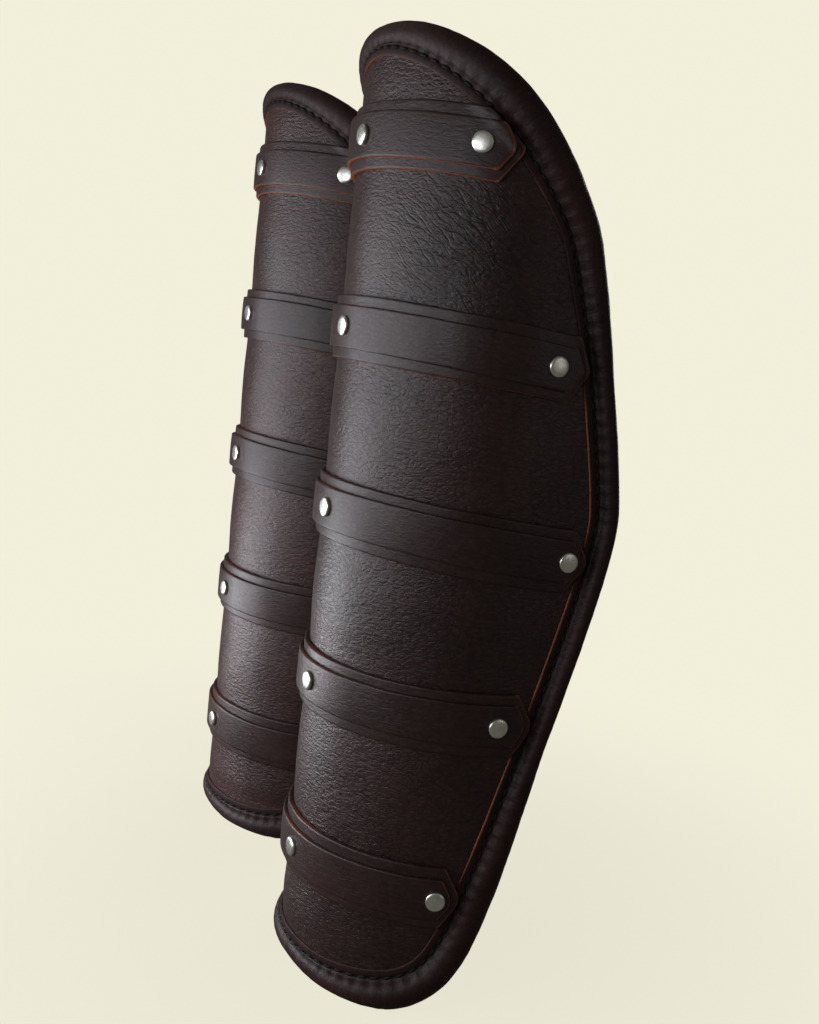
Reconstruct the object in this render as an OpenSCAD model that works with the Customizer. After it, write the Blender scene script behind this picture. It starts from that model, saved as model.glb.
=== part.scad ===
// Pair of leather greaves (shin guards) for standing on a shelf or wearing.
// Each is a bent leather shell with a lining, a rolled edge binding, five
// riveted double bands across the shin and two buckled straps at the calf.
// Millimetres, +Z up. The shins face -Y and the wearer's left greave is at +X.

/* [Tube] */
// Outer radius of the bent shell over the shin
shell_r = 64; // [60:1:68]
// Thickness of the shell leather
shell_t = 3; // [2.6:0.1:3.4]
// Thickness of the lining
lining_t = 1.4; // [1:0.1:1.8]

/* [Outline, measured along the stitch line] */
// Height of the stitch line over the floor at the shin
hem_z = 8.5; // [7:0.5:10]
// Length of the straight start of the lower edge, from the shin
hem_lead = 66; // [50:1:70]
// Half width of the leather at the foot corner
foot_half = 85; // [78:0.5:90]
// Height of the foot corner
foot_z = 46; // [40:0.5:50]
// Direction of the edge at the foot corner, degrees from level
foot_angle = 71.5; // [66:0.5:78]
// Pull of the curve below the foot corner
foot_pull_low = 36; // [28:1:40]
// Pull of the curve above the foot corner
foot_pull_high = 40; // [32:1:50]
// Half width of the leather at the calf, its widest place
calf_half = 130; // [124:0.5:134]
// Distance of the widest place below the top
calf_down = 186.2; // [176:1:196]
// Pull of the curve below the widest place
calf_pull_low = 30; // [20:1:40]
// Pull of the curve above the widest place
calf_pull_high = 17; // [12:1:30]
// Half width of the leather where the edge turns in below the knee
knee_half = 98.5; // [92:0.5:104]
// Distance of that turn below the top
knee_down = 68.2; // [60:1:76]
// Direction of the edge at that turn, degrees from level
knee_angle = 122; // [114:1:130]
// Pull of the curve below that turn
knee_pull_low = 20; // [10:1:34]
// Pull of the curve above that turn
knee_pull_high = 38; // [28:1:48]
// Height of the stitch line at the top of the shin
top_z = 409.2; // [400:1:420]
// Pull of the curve at the top
top_pull = 44; // [34:1:56]

/* [Edge binding] */
// Width of the roll outside the stitch line at the middle of the shin
rim_shin = 9.3; // [7:0.5:10]
// Width of the roll at the foot corner
rim_foot = 13.5; // [12:0.5:15]
// Width of the roll at the calf
rim_calf = 8.8; // [8:0.2:10]
// Width of the roll at the knee
rim_knee = 15; // [13:0.5:16]
// How far the roll stands over the shell at the middle of the shin
roll_shin = 1.8; // [1:0.1:2.6]
// How far the roll stands over the shell along the sides
roll_side = 6.2; // [5:0.1:7]
// Distance from the shin over which the roll grows to its full size
roll_grow = 64; // [50:1:80]
// Width of the sewn flange inside the stitch line
flange_w = 4.1; // [3.5:0.1:5]
// How far the flange stands over the shell
flange_proud = 0.5; // [0.3:0.1:0.8]
// Depth of the skived rebate under the flange
rebate = 1.2; // [1:0.1:1.4]

/* [Bands] */
// Height of the lowest band's centre at the shin
band_z = 55; // [50:1:60]
// Distance of the highest band's centre below the top
band_down = 36.2; // [33:0.5:40]
// Width of the under band
under_w = 27.5; // [25:0.5:30]
// Width of the top band
over_w = 18.5; // [16:0.5:20]
// Thickness of one band leather
band_t = 1.9; // [1.6:0.1:2.4]
// Slope of the two lower bands, drop from the shin to the side
drop_low = 2; // [0:0.5:6]
// Slope of the three upper bands, drop from the shin to the side
drop_high = 7; // [4:0.5:9]
// How far back a band's end is clipped, as a share of half its width
clip = 0.6; // [0.45:0.05:0.8]
// Rounding of the tips of the three upper bands
tip_r = 5; // [3:0.5:8]
// Rounding of the tips of the two lower bands
tip_r_low = 8; // [6:0.5:10]
// Margin of the under band round the top band at the tip
tip_margin = 3.7; // [3:0.1:4.5]

/* [Rivets] */
// Radius of a rivet cap
cap_r = 4.4; // [3.8:0.1:5]
// Height of a rivet cap
cap_h = 1.8; // [1.4:0.1:2.2]
// Radius of a rivet post
post_r = 1.9; // [1.6:0.1:2.2]
// Radius of a rivet's washer inside the lining
washer_r = 3.8; // [3.2:0.1:4.4]
// Thickness of that washer
washer_t = 0.8; // [0.6:0.1:1]
// Distance from the tips of bands 3 and 5 to their end rivets
tip_to_rivet = 10; // [9.6:0.2:12]
// Distance from the tips of bands 1, 2 and 4 to their end rivets
tip_to_rivet_long = 16.2; // [14:0.2:17]

/* [Straps] */
// Width of a strap
strap_w = 18; // [15:0.5:20]
// Thickness of a strap
strap_t = 2; // [1.8:0.1:2.4]
// Where a strap leaves the side, distance from the shin round the shell
leave_s = 106; // [102:1:110]
// Radius of the bend behind the edge
bend_r = 30; // [26:1:33]
// Distance of the buckle bar from the middle of the calf
bar_x = 9; // [7:0.5:11]
// Pitch of the billet's punched holes
hole_pitch = 11; // [10:0.5:13]
// Radius of the billet's punched holes
hole_r = 1.6; // [1.3:0.1:1.8]
// Width of the keeper loop
keeper_w = 7; // [5:0.5:8]
// Thickness of the keeper loop
keeper_t = 1.2; // [1:0.1:1.5]

/* [Buckles] */
// Radius of the buckle bar
bar_r = 1.4; // [1.2:0.1:1.6]
// Distance from the bar to the far rail
frame_len = 18; // [17:0.5:20]
// Width of the frame's rails
rail_w = 2.8; // [2.4:0.1:3.2]
// Thickness of the frame
frame_t = 2.6; // [2.2:0.1:3]
// Thickness of the prong
prong_t = 2.2; // [1.8:0.1:2.4]
// Width of the prong
prong_w = 2.6; // [2:0.1:2.8]

/* [Pair] */
// Distance between the two tubes
pair_x = 172.4; // [165:0.2:200]
// How far the right greave stands behind the left one
pair_y = 17.5; // [0:0.5:30]

/* [Hidden] */
$fn = 96;

// Named clearances
ply_gap = 0.05; // between leathers that lie on each other
sweep_gap = 0.2; // under the binding, whose faces are short flats
edge_gap = 0.7; // between the flange's raw edge and the rebate's step
post_gap = 0.05; // round a rivet post
strap_gap = 0.4; // between the binding's inner face and a strap
billet_gap = 0.15; // between a billet and what it lies over
pin_gap = 0.05; // round the buckle bar
side_gap = 1; // beside a strap inside its buckle
slot_gap = 0.4; // beside a prong in its slot
seat_gap = 0.08; // between a prong's tip and the rail

// Faces of the layers, measured out from the shell's face
lining_n = -shell_t - ply_gap;
inner_n = lining_n - lining_t;
under_n = flange_proud + ply_gap;
over_n = under_n + band_t + ply_gap;
cap_n = over_n + band_t + ply_gap;

// Heights that go with the top
calf_z = top_z - calf_down;
knee_z = top_z - knee_down;
band_pitch = (top_z - band_down - band_z) / 4;

// Outline in the flat leather: [distance from the shin, height]
function bez(a, b, c, d, t) =
    pow(1 - t, 3) * a + 3 * pow(1 - t, 2) * t * b + 3 * (1 - t) * t * t * c + pow(t, 3) * d;
foot = [foot_half, foot_z];
foot_dir = [cos(foot_angle), sin(foot_angle)];
calf = [calf_half, calf_z];
knee = [knee_half, knee_z];
knee_dir = [cos(knee_angle), sin(knee_angle)];
half_line = concat(
    [for (i = [0 : 15]) bez([0, hem_z], [hem_lead, hem_z], foot - foot_pull_low * foot_dir, foot, i / 16)],
    [for (i = [0 : 12]) bez(foot, foot + foot_pull_high * foot_dir, calf - [0, calf_pull_low], calf, i / 13)],
    [for (i = [0 : 11]) bez(calf, calf + [0, calf_pull_high], knee - knee_pull_low * knee_dir, knee, i / 12)],
    [for (i = [0 : 16]) bez(knee, knee + knee_pull_high * knee_dir, [top_pull, top_z], [0, top_z], i / 16)]);
last = len(half_line) - 1;
loop = concat(half_line, [for (i = [last - 1 : -1 : 1]) [-half_line[i][0], half_line[i][1]]]);
count = len(loop);
function unit(v) = v / norm(v);
function tangent(i) = unit(loop[(i + 1) % count] - loop[(i + count - 1) % count]);
function outward(i) = [tangent(i)[1], -tangent(i)[0]];
function offset_point(i, t) = loop[i] + t * outward(i);

// Half width of the leather at a height
heights = [for (p = half_line) [p[1], p[0]]];
function half_at(z) = lookup(z, heights);

// Cross-section: an arc over the shin, then flat sides. s is the distance from
// the shin along the shell's face, n the distance out from that face
// The bend ends 85.65 degrees either side of the shin. This sine and cosine are
// exact decimals, so the arc and the flat sides share one seam
bend_dir = [0.99712, -0.07584];
bend_end = atan2(bend_dir[0], -bend_dir[1]);
bend_s = shell_r * bend_end * PI / 180;
function phi_of(s) = min(s / shell_r * 180 / PI, bend_end);
function past_bend(s) = max(0, s - bend_s);
function plan_point(s, n) = let (a = phi_of(abs(s)), d = past_bend(abs(s)))
    [sign(s) * ((shell_r + n) * sin(a) + d * cos(a)), -(shell_r + n) * cos(a) + d * sin(a)];
function on_wall(s, z, n) = let (p = plan_point(s, n)) [p[0], p[1], z];

// Side profile of a layer n out from the face, [y, z], for a cut straight across
function side_profile(t, n) = concat(
    [for (i = [0 : last]) let (p = offset_point(i, t)) [plan_point(p[0], n)[1], p[1]]],
    [[-shell_r - 30, offset_point(last, t)[1]], [-shell_r - 30, offset_point(0, t)[1]]]);

module across(t, n) rotate([90, 0, 90])
    linear_extrude(height = 2 * shell_r + 60, center = true)
        polygon(side_profile(t, n));

// A layer of leather bent to the cross-section, from n0 to n1 over the shell's face
side_len = 60;
module wall(n0, n1, z0, z1) translate([0, 0, z0]) {
    difference() {
        cylinder(r = shell_r + n1, h = z1 - z0);
        translate([0, 0, -1])
            cylinder(r = shell_r + n0, h = z1 - z0 + 2);
        translate([0, 0, -1])
            linear_extrude(height = z1 - z0 + 2)
                polygon([[0, 0], 100 * bend_dir, 2 * shell_r * [1, 1], 2 * shell_r * [-1, 1],
                    [-100 * bend_dir[0], 100 * bend_dir[1]]]);
    }
    for (side = [0, 1]) mirror([side, 0, 0])
        rotate([0, 0, bend_end])
            translate([0, -shell_r - n1, 0])
                cube([side_len, n1 - n0, z1 - z0]);
}

// Bands, 1 at the knee to 5 at the ankle
function band_height(k) = band_z + (5 - k) * band_pitch;
function band_drop(k) = k > 3 ? drop_low : drop_high;
function level_at(k, s) = band_height(k) - band_drop(k) * (1 + plan_point(s, 0)[1] / shell_r);
function tip_s(k) = half_at(level_at(k, half_at(band_height(k)))) - 2.4;
function reach(k) = k == 3 || k == 5 ? tip_to_rivet : tip_to_rivet_long;
function rivet_s(k) = tip_s(k) - reach(k);
function rivet_z(k) = level_at(k, rivet_s(k));
function end_slope(k) = -atan(band_drop(k) * sin(phi_of(rivet_s(k))) / shell_r);

// Places children on the shell's face, x along the leather, y up and z outward
module on_shell(s, z) rotate([0, 0, sign(s) * phi_of(abs(s))])
    translate([sign(s) * past_bend(abs(s)), -shell_r, z])
        rotate([90, 0, 0])
            children();

module post_holes(k) {
    on_shell(0, band_height(k))
        cylinder(r = post_r + post_gap, h = 40, center = true);
    for (side = [-1, 1]) on_shell(side * rivet_s(k), rivet_z(k))
        cylinder(r = post_r + post_gap, h = 40, center = true);
}

// What lies past a band's end, drawn from the end rivet outward
function nose(w, tip, r) = let (a = 90 - atan(1 / clip), c = tip - r, sharp = c + r / cos(a)) concat(
    [[-1, -w / 2 - 9], [sharp - clip * (w / 2 + 9), -w / 2 - 9]],
    [for (i = [-3 : 3]) [c + r * cos(a * i / 3), r * sin(a * i / 3)]],
    [[sharp - clip * (w / 2 + 9), w / 2 + 9], [-1, w / 2 + 9]]);
module end_waste(w, tip, r) difference() {
    translate([0, -30])
        square([34, 60]);
    polygon(nose(w, tip, r));
}

module band(k, n0, w, tip) difference() {
    intersection() {
        wall(n0, n0 + band_t, band_height(k) - 40, band_height(k) + 30);
        translate([0, 0, band_height(k) - band_drop(k)])
            rotate([-atan(band_drop(k) / shell_r), 0, 0])
                cube([4 * shell_r, 4 * shell_r, w], center = true);
        across(-0.9, n0 + band_t / 2);
    }
    for (side = [0, 1]) mirror([side, 0, 0])
        on_shell(rivet_s(k), rivet_z(k))
            rotate([0, 0, end_slope(k)])
                linear_extrude(height = 30, center = true)
                    end_waste(w, tip, k > 3 ? tip_r_low : tip_r);
    post_holes(k);
}

module under_band(k) color("saddlebrown") band(k, under_n, under_w, reach(k));
module top_band(k) color("sienna") band(k, over_n, over_w, reach(k) - tip_margin);

module shell() color([0.24, 0.14, 0.11]) difference() {
    intersection() {
        wall(-shell_t, 0, -10, top_z + 30);
        across(1, -(shell_t + rebate) / 2);
    }
    difference() {
        wall(-rebate, 5, -20, top_z + 40);
        across(-flange_w - edge_gap, -rebate / 2);
    }
    for (k = [1 : 5]) post_holes(k);
}

module lining() color([0.5, 0.38, 0.26]) difference() {
    intersection() {
        wall(inner_n, lining_n, -10, top_z + 30);
        across(-flange_w - edge_gap, (inner_n + lining_n) / 2);
    }
    for (k = [1 : 5]) post_holes(k);
}

// Binding: one section swept along the outline, smaller over the shin
function ease(u) = u * u * (3 - 2 * u);
function grade(s) = ease(min(1, abs(s) / roll_grow));
rim_marks = [[foot_z + 15, rim_foot], [calf_z - 100, rim_calf], [calf_z + 60, rim_calf], [knee_z + 35, rim_knee]];
function rim(s, z) = rim_shin + (lookup(z, rim_marks) - rim_shin) * grade(s);
function roll(s) = roll_shin + (roll_side - roll_shin) * grade(s);
notch = 2.4;
function section(s, z) = let (w = rim(s, z), h = roll(s), b = (h - inner_n) / 2, c = (h + inner_n) / 2) concat(
    [[-flange_w, sweep_gap - rebate], [-flange_w, flange_proud], [-0.9, flange_proud], [0, -0.1]],
    [for (a = [160 : -28 : -120]) [0.53 * w + 0.47 * w * cos(a), c + b * sin(a)]],
    [[0, inner_n], [-flange_w, inner_n], [-flange_w, lining_n - sweep_gap],
        [notch, lining_n - sweep_gap], [notch, sweep_gap - rebate]]);
sides = len(section(0, 0));
binding_points = [for (i = [0 : count - 1]) for (q = section(loop[i][0], loop[i][1]))
    let (p = offset_point(i, q[0]), v = on_wall(p[0], p[1], q[1])) [v[0], v[1], max(v[2], 0)]];
binding_faces = [for (i = [0 : count - 1]) for (j = [0 : sides - 1])
    let (a = i * sides + j, b = i * sides + (j + 1) % sides,
        c = ((i + 1) % count) * sides + (j + 1) % sides, d = ((i + 1) % count) * sides + j)
        each [[a, b, c], [a, c, d]]];

module binding() color([0.16, 0.09, 0.07]) polyhedron(binding_points, binding_faces, convexity = 10);

// Rivets of one greave: five bands of three, with washers on the lining
function has_strap(k) = k == 2 || k == 4;
strap_n1 = inner_n - strap_gap - ply_gap;
strap_n0 = strap_n1 - strap_t;
// A flat washer inside the bend sits on its rim
function seat(n, s) = past_bend(s) > washer_r ? n - ply_gap
    : sqrt(pow(shell_r + n, 2) - washer_r * washer_r) - shell_r - ply_gap;

module rivet(seat_n) {
    translate([0, 0, cap_n])
        rotate_extrude()
            polygon([[0, 0], [cap_r, 0], [cap_r, 0.28 * cap_h], [0.9 * cap_r, 0.6 * cap_h],
                [0.66 * cap_r, 0.86 * cap_h], [0.35 * cap_r, cap_h], [0, cap_h]]);
    translate([0, 0, seat_n - 0.1])
        cylinder(r = post_r, h = cap_n - seat_n + 0.2);
    translate([0, 0, seat_n - washer_t])
        cylinder(r = washer_r, h = washer_t);
}

module rivets() color("silver") for (k = [1 : 5]) {
    on_shell(0, band_height(k))
        rivet(seat(inner_n, 0));
    for (side = [-1, 1]) on_shell(side * rivet_s(k), rivet_z(k))
        rivet(seat(has_strap(k) ? strap_n0 : inner_n, rivet_s(k)));
}

// Straps: paths in plan. The buckle strap comes round from +X, the billet from -X
path_n = strap_n1 - strap_t / 2;
leave_point = plan_point(leave_s, path_n);
function bend_centre(r) = leave_point - r * bend_dir;
main_y = bend_centre(bend_r)[1] + bend_r;
billet_y = main_y + strap_t + billet_gap;
billet_bend_r = (billet_y - leave_point[1]) / (1 + cos(bend_end));
function side_path(k, r) = let (start = rivet_s(k) - 8) concat(
    [for (i = [0 : 6]) plan_point(start + (leave_s - start) * i / 7, path_n)],
    [for (i = [0 : 14]) let (a = bend_end + (180 - bend_end) * i / 14)
        bend_centre(r) + r * [sin(a), -cos(a)]]);
fold_r = bar_r + 2 * pin_gap + strap_t / 2;
bar_y = main_y - fold_r;
fold_back = 16;
slot_x0 = -2.2;
slot_x1 = 8;
function buckle_path(k) = concat(side_path(k, bend_r),
    [[bar_x + 8, main_y]],
    [for (i = [0 : 10]) [bar_x, bar_y] + fold_r * [-sin(18 * i), cos(18 * i)]],
    [for (i = [1 : 10]) [bar_x + fold_back * i / 10,
        bar_y - fold_r + (2 * fold_r - strap_t - ply_gap) * ease(min(1, i / 6))]]);
function billet_path(k) = concat(
    [for (p = side_path(k, billet_bend_r)) [-p[0], p[1]]],
    [for (x = [-15, 0, 15]) [x, billet_y]],
    [for (i = [0 : 5]) let (a = 180 - 5 * i, r = bend_r + strap_t + billet_gap)
        bend_centre(bend_r) + r * [sin(a), -cos(a)]]);

// Outline of a strap of thickness t about a path, in plan
function turn(p, i) = let (a = p[max(0, i - 1)], b = p[min(len(p) - 1, i + 1)], d = unit(b - a)) [d[1], -d[0]];
function strip(p, t) = concat(
    [for (i = [0 : len(p) - 1]) p[i] + t / 2 * turn(p, i)],
    [for (i = [len(p) - 1 : -1 : 0]) p[i] - t / 2 * turn(p, i)]);

module strap_solid(path, z) translate([0, 0, z - strap_w / 2])
    linear_extrude(height = strap_w)
        polygon(strip(path, strap_t));

function strap_z(k) = rivet_z(k);

module buckle_strap(k) color("saddlebrown") difference() {
    strap_solid(buckle_path(k), strap_z(k));
    post_holes(k);
    translate([bar_x - 6, bar_y - 8, strap_z(k) - prong_w / 2 - slot_gap])
        cube([6 + 7.5, 16, prong_w + 2 * slot_gap]);
}

module billet(k) color("sienna") difference() {
    strap_solid(billet_path(k), strap_z(k));
    post_holes(k);
    for (i = [-3 : -1]) translate([bar_x + i * hole_pitch, billet_y, strap_z(k)])
        rotate([90, 0, 0])
            cylinder(r = hole_r, h = 8, center = true);
    for (x = [slot_x0 + hole_r, slot_x1 - hole_r]) translate([bar_x + x, billet_y, strap_z(k)])
        rotate([90, 0, 0])
            cylinder(r = hole_r, h = 8, center = true);
    translate([bar_x + slot_x0 + hole_r, billet_y - 4, strap_z(k) - hole_r])
        cube([slot_x1 - slot_x0 - 2 * hole_r, 8, 2 * hole_r]);
    for (end = [-1, 1]) translate([bend_centre(bend_r)[0] + 14, billet_y, strap_z(k) + end * strap_w / 2])
        rotate([0, end * 35, 0])
            cube([30, 30, 10], center = true);
}

module keeper(k) color("peru") {
    low = main_y - strap_t * 1.5 - 2 * ply_gap;
    high = billet_y + strap_t / 2 + billet_gap;
    translate([bar_x + 8.8, low - keeper_t, strap_z(k) - strap_w / 2 - ply_gap - keeper_t])
        difference() {
            cube([keeper_w, high - low + 2 * keeper_t, strap_w + 2 * ply_gap + 2 * keeper_t]);
            translate([-1, keeper_t, keeper_t])
                cube([keeper_w + 2, high - low, strap_w + 2 * ply_gap]);
        }
}

// Buckle: a frame leaning out over the billet, and a prong on the same bar
rail_clear = 0.25;
billet_top = billet_y + strap_t / 2 - bar_y;
frame_angle = asin((billet_top + rail_clear + rail_w / 2 * 0.43 + frame_t / 2 * 0.91) / frame_len);
frame_half = strap_w / 2 + side_gap + rail_w / 2;
function frame_point(a, b) = a * [-cos(frame_angle), sin(frame_angle)] + b * [sin(frame_angle), cos(frame_angle)];

module at_bar(k) translate([bar_x, bar_y, strap_z(k)]) children();

// Rounded rectangle from four circles and two bars
module soft_rect(x0, x1, h, r) {
    translate([x0 + r, -h])
        square([x1 - x0 - 2 * r, 2 * h]);
    translate([x0, -h + r])
        square([x1 - x0, 2 * h - 2 * r]);
    for (x = [x0 + r, x1 - r]) for (y = [-h + r, h - r]) translate([x, y])
        circle(r = r);
}

module frame(k) color("gainsboro") at_bar(k) {
    rotate([0, 0, 180 - frame_angle])
        rotate([90, 0, 0])
            linear_extrude(height = frame_t, center = true)
                difference() {
                    soft_rect(-rail_w / 2, frame_len + rail_w / 2, frame_half + rail_w / 2, 3);
                    translate([-rail_w, -frame_half + rail_w / 2])
                        square([frame_len + rail_w / 2, 2 * frame_half - rail_w]);
                }
    cylinder(r = bar_r, h = 2 * frame_half, center = true);
}

module prong(k) color("whitesmoke") at_bar(k) difference() {
    union() {
        cylinder(r = bar_r + pin_gap + 1.15, h = prong_w, center = true);
        linear_extrude(height = prong_w, center = true)
            polygon([[1.2, 0], [1.2, billet_top + 1.2], [0.4, billet_top + 0.35 + prong_t],
                frame_point(frame_len + rail_w / 2 + 0.8, frame_t / 2) + [0, seat_gap + prong_t],
                frame_point(frame_len + rail_w / 2 + 2, frame_t / 2) + [0, seat_gap + 0.5],
                frame_point(frame_len + rail_w / 2, frame_t / 2) + [0, seat_gap],
                [-1.2, billet_top + 0.35], [-1.2, 0]]);
    }
    cylinder(r = bar_r + pin_gap, h = prong_w + 2, center = true);
}

// The pair, centred over its own base
front_y = -(shell_r + cap_n + cap_h);
back_y = bar_y + (frame_point(frame_len + rail_w / 2 + 0.8, frame_t / 2))[1] + seat_gap + prong_t;
centre_y = (front_y + back_y) / 2;
module on_left() translate([pair_x / 2, -pair_y / 2 - centre_y, 0]) children();
module on_right() translate([-pair_x / 2, pair_y / 2 - centre_y, 0]) mirror([1, 0, 0]) children();

on_left() shell();  // left_shell
on_left() lining();  // left_lining
on_left() binding();  // left_binding
on_left() under_band(1);  // left_under_band_1
on_left() under_band(2);  // left_under_band_2
on_left() under_band(3);  // left_under_band_3
on_left() under_band(4);  // left_under_band_4
on_left() under_band(5);  // left_under_band_5
on_left() top_band(1);  // left_top_band_1
on_left() top_band(2);  // left_top_band_2
on_left() top_band(3);  // left_top_band_3
on_left() top_band(4);  // left_top_band_4
on_left() top_band(5);  // left_top_band_5
on_left() rivets();  // left_rivets
on_left() billet(4);  // left_low_billet
on_left() buckle_strap(4);  // left_low_buckle_strap
on_left() keeper(4);  // left_low_keeper
on_left() frame(4);  // left_low_frame
on_left() prong(4);  // left_low_prong
on_left() billet(2);  // left_high_billet
on_left() buckle_strap(2);  // left_high_buckle_strap
on_left() keeper(2);  // left_high_keeper
on_left() frame(2);  // left_high_frame
on_left() prong(2);  // left_high_prong
on_right() shell();  // right_shell
on_right() lining();  // right_lining
on_right() binding();  // right_binding
on_right() under_band(1);  // right_under_band_1
on_right() under_band(2);  // right_under_band_2
on_right() under_band(3);  // right_under_band_3
on_right() under_band(4);  // right_under_band_4
on_right() under_band(5);  // right_under_band_5
on_right() top_band(1);  // right_top_band_1
on_right() top_band(2);  // right_top_band_2
on_right() top_band(3);  // right_top_band_3
on_right() top_band(4);  // right_top_band_4
on_right() top_band(5);  // right_top_band_5
on_right() rivets();  // right_rivets
on_right() billet(4);  // right_low_billet
on_right() buckle_strap(4);  // right_low_buckle_strap
on_right() keeper(4);  // right_low_keeper
on_right() frame(4);  // right_low_frame
on_right() prong(4);  // right_low_prong
on_right() billet(2);  // right_high_billet
on_right() buckle_strap(2);  // right_high_buckle_strap
on_right() keeper(2);  // right_high_keeper
on_right() frame(2);  // right_high_frame
on_right() prong(2);  // right_high_prong
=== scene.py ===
import math
import bmesh
import bpy
import numpy as np
from mathutils import Matrix, Vector
from mathutils.kdtree import KDTree


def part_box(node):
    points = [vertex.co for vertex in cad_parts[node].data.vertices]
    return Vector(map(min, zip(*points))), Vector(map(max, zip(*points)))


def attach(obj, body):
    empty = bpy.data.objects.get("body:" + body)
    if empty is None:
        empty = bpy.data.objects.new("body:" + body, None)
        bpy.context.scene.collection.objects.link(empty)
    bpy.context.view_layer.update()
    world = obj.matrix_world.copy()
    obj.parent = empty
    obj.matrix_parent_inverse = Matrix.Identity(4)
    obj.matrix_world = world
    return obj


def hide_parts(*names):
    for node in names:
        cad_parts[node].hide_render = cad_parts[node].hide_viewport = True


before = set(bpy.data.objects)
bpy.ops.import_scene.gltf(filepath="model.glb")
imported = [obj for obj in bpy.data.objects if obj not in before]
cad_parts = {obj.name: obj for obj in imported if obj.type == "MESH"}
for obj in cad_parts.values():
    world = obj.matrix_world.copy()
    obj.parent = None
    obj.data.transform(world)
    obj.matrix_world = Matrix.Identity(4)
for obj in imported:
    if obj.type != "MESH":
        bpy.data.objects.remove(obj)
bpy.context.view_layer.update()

mm = 0.001


def addObject(name, data):
    made = bpy.data.objects.new(name, data)
    bpy.context.scene.collection.objects.link(made)
    return made


def appliedMesh(piece):
    # the piece's mesh with its modifiers applied
    bpy.context.view_layer.update()
    graph = bpy.context.evaluated_depsgraph_get()
    return bpy.data.meshes.new_from_object(piece.evaluated_get(graph))


def applyModifiers(piece):
    old, piece.data = piece.data, appliedMesh(piece)
    piece.modifiers.clear()
    bpy.data.meshes.remove(old)


def smoothFaces(mesh):
    mesh.polygons.foreach_set("use_smooth", np.ones(len(mesh.polygons), bool))


def turnOutwards(mesh, merge=None):
    # doubles nearer than merge go first
    work = bmesh.new()
    work.from_mesh(mesh)
    if merge:
        bmesh.ops.remove_doubles(work, verts=work.verts, dist=merge)
    bmesh.ops.recalc_face_normals(work, faces=work.faces)
    work.to_mesh(mesh)
    work.free()


# camera
cameraSetup = {
    "place": (563.7, -277.2, 296.9),   # mm
    "azimuth": 60.0,                   # degrees round the pair before the turns below
    "yaw": -2.07, "pitch": -8.84, "roll": 6.37,
    "lens": 42.1,
}


def placeCamera(setup):
    a = math.radians(setup["azimuth"])
    forward = Vector((-math.sin(a), math.cos(a), 0))
    up = Vector((0, 0, 1))
    right = forward.cross(up)
    y, p, r = (math.radians(setup[key]) for key in ("yaw", "pitch", "roll"))
    ahead = forward * math.cos(y) + right * math.sin(y)
    side = ahead.cross(up).normalized()
    look = ahead * math.cos(p) + up * math.sin(p)
    top = side.cross(look)
    across = side * math.cos(r) + top * math.sin(r)
    above = top * math.cos(r) - side * math.sin(r)
    data = bpy.data.cameras.new("camera")
    data.lens = setup["lens"]
    data.sensor_width = 36
    data.clip_start, data.clip_end = 0.01, 20
    camera = addObject("camera", data)
    turn = Matrix((across, above, -look)).transposed().to_4x4()
    camera.matrix_world = Matrix.Translation(Vector(setup["place"]) * mm) @ turn
    bpy.context.scene.camera = camera


placeCamera(cameraSetup)
print("camera placed")

# Leather pattern of one greave: s runs round the tube from the shin, z up, n outward
pattern = {
    "radius": 64.0, "bendSin": 0.99712, "bendCos": 0.07584,
    "hem": (0, 8.5), "hemLead": (66, 8.5),
    "foot": (85, 46), "footAngle": 71.5, "footLow": 36, "footHigh": 40,
    "calf": (130, 223), "calfLow": 30, "calfHigh": 17,
    "knee": (98.5, 341), "kneeAngle": 122, "kneeLow": 20, "kneeHigh": 38,
    "top": (0, 409.2), "topLead": (44, 409.2),
}
radius = pattern["radius"]
bendAngle = math.atan2(pattern["bendSin"], pattern["bendCos"])
bendRun = radius * bendAngle


def wall(s, z, n):
    # point of the tube in millimetres, local to its greave
    s, z, n = np.broadcast_arrays(np.asarray(s, float), np.asarray(z, float), np.asarray(n, float))
    a = np.minimum(np.abs(s) / radius, bendAngle)
    d = np.maximum(np.abs(s) - bendRun, 0)
    x = np.sign(s) * ((radius + n) * np.sin(a) + d * pattern["bendCos"])
    y = -(radius + n) * np.cos(a) + d * pattern["bendSin"]
    return np.stack([x, y, z], -1)


def outwardAt(s):
    a = np.minimum(np.abs(s) / radius, bendAngle)
    return np.stack([np.sign(s) * np.sin(a), -np.cos(a), np.zeros_like(a)], -1)


def bezier(a, b, c, d, steps):
    t = np.linspace(0, 1, steps, endpoint=False)[:, None]
    a, b, c, d = (np.array(p, float) for p in (a, b, c, d))
    return (1 - t) ** 3 * a + 3 * (1 - t) ** 2 * t * b + 3 * (1 - t) * t * t * c + t ** 3 * d


def aimed(point, angle, length):
    a = math.radians(angle)
    return (point[0] + length * math.cos(a), point[1] + length * math.sin(a))


def halfOutline(steps=120):
    p = pattern
    calf, foot, knee = p["calf"], p["foot"], p["knee"]
    curves = [
        (p["hem"], p["hemLead"], aimed(foot, p["footAngle"], -p["footLow"]), foot),
        (foot, aimed(foot, p["footAngle"], p["footHigh"]), (calf[0], calf[1] - p["calfLow"]), calf),
        (calf, (calf[0], calf[1] + p["calfHigh"]), aimed(knee, p["kneeAngle"], -p["kneeLow"]), knee),
        (knee, aimed(knee, p["kneeAngle"], p["kneeHigh"]), p["topLead"], p["top"]),
    ]
    return np.concatenate([bezier(*curve, steps) for curve in curves] + [np.array([p["top"]], float)])


half = halfOutline()
widest = int(np.argmax(half[:, 0]))


def lowerEdge(s):
    return np.interp(np.abs(s), half[:widest + 1, 0], half[:widest + 1, 1])


def upperEdge(s):
    return np.interp(np.abs(s), half[widest:, 0][::-1], half[widest:, 1][::-1])


def halfWidthAt(z):
    return np.interp(z, half[:, 1], half[:, 0])


def runAlong(points):
    return np.concatenate([[0], np.cumsum(np.linalg.norm(np.diff(points, axis=0), axis=1))])


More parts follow.
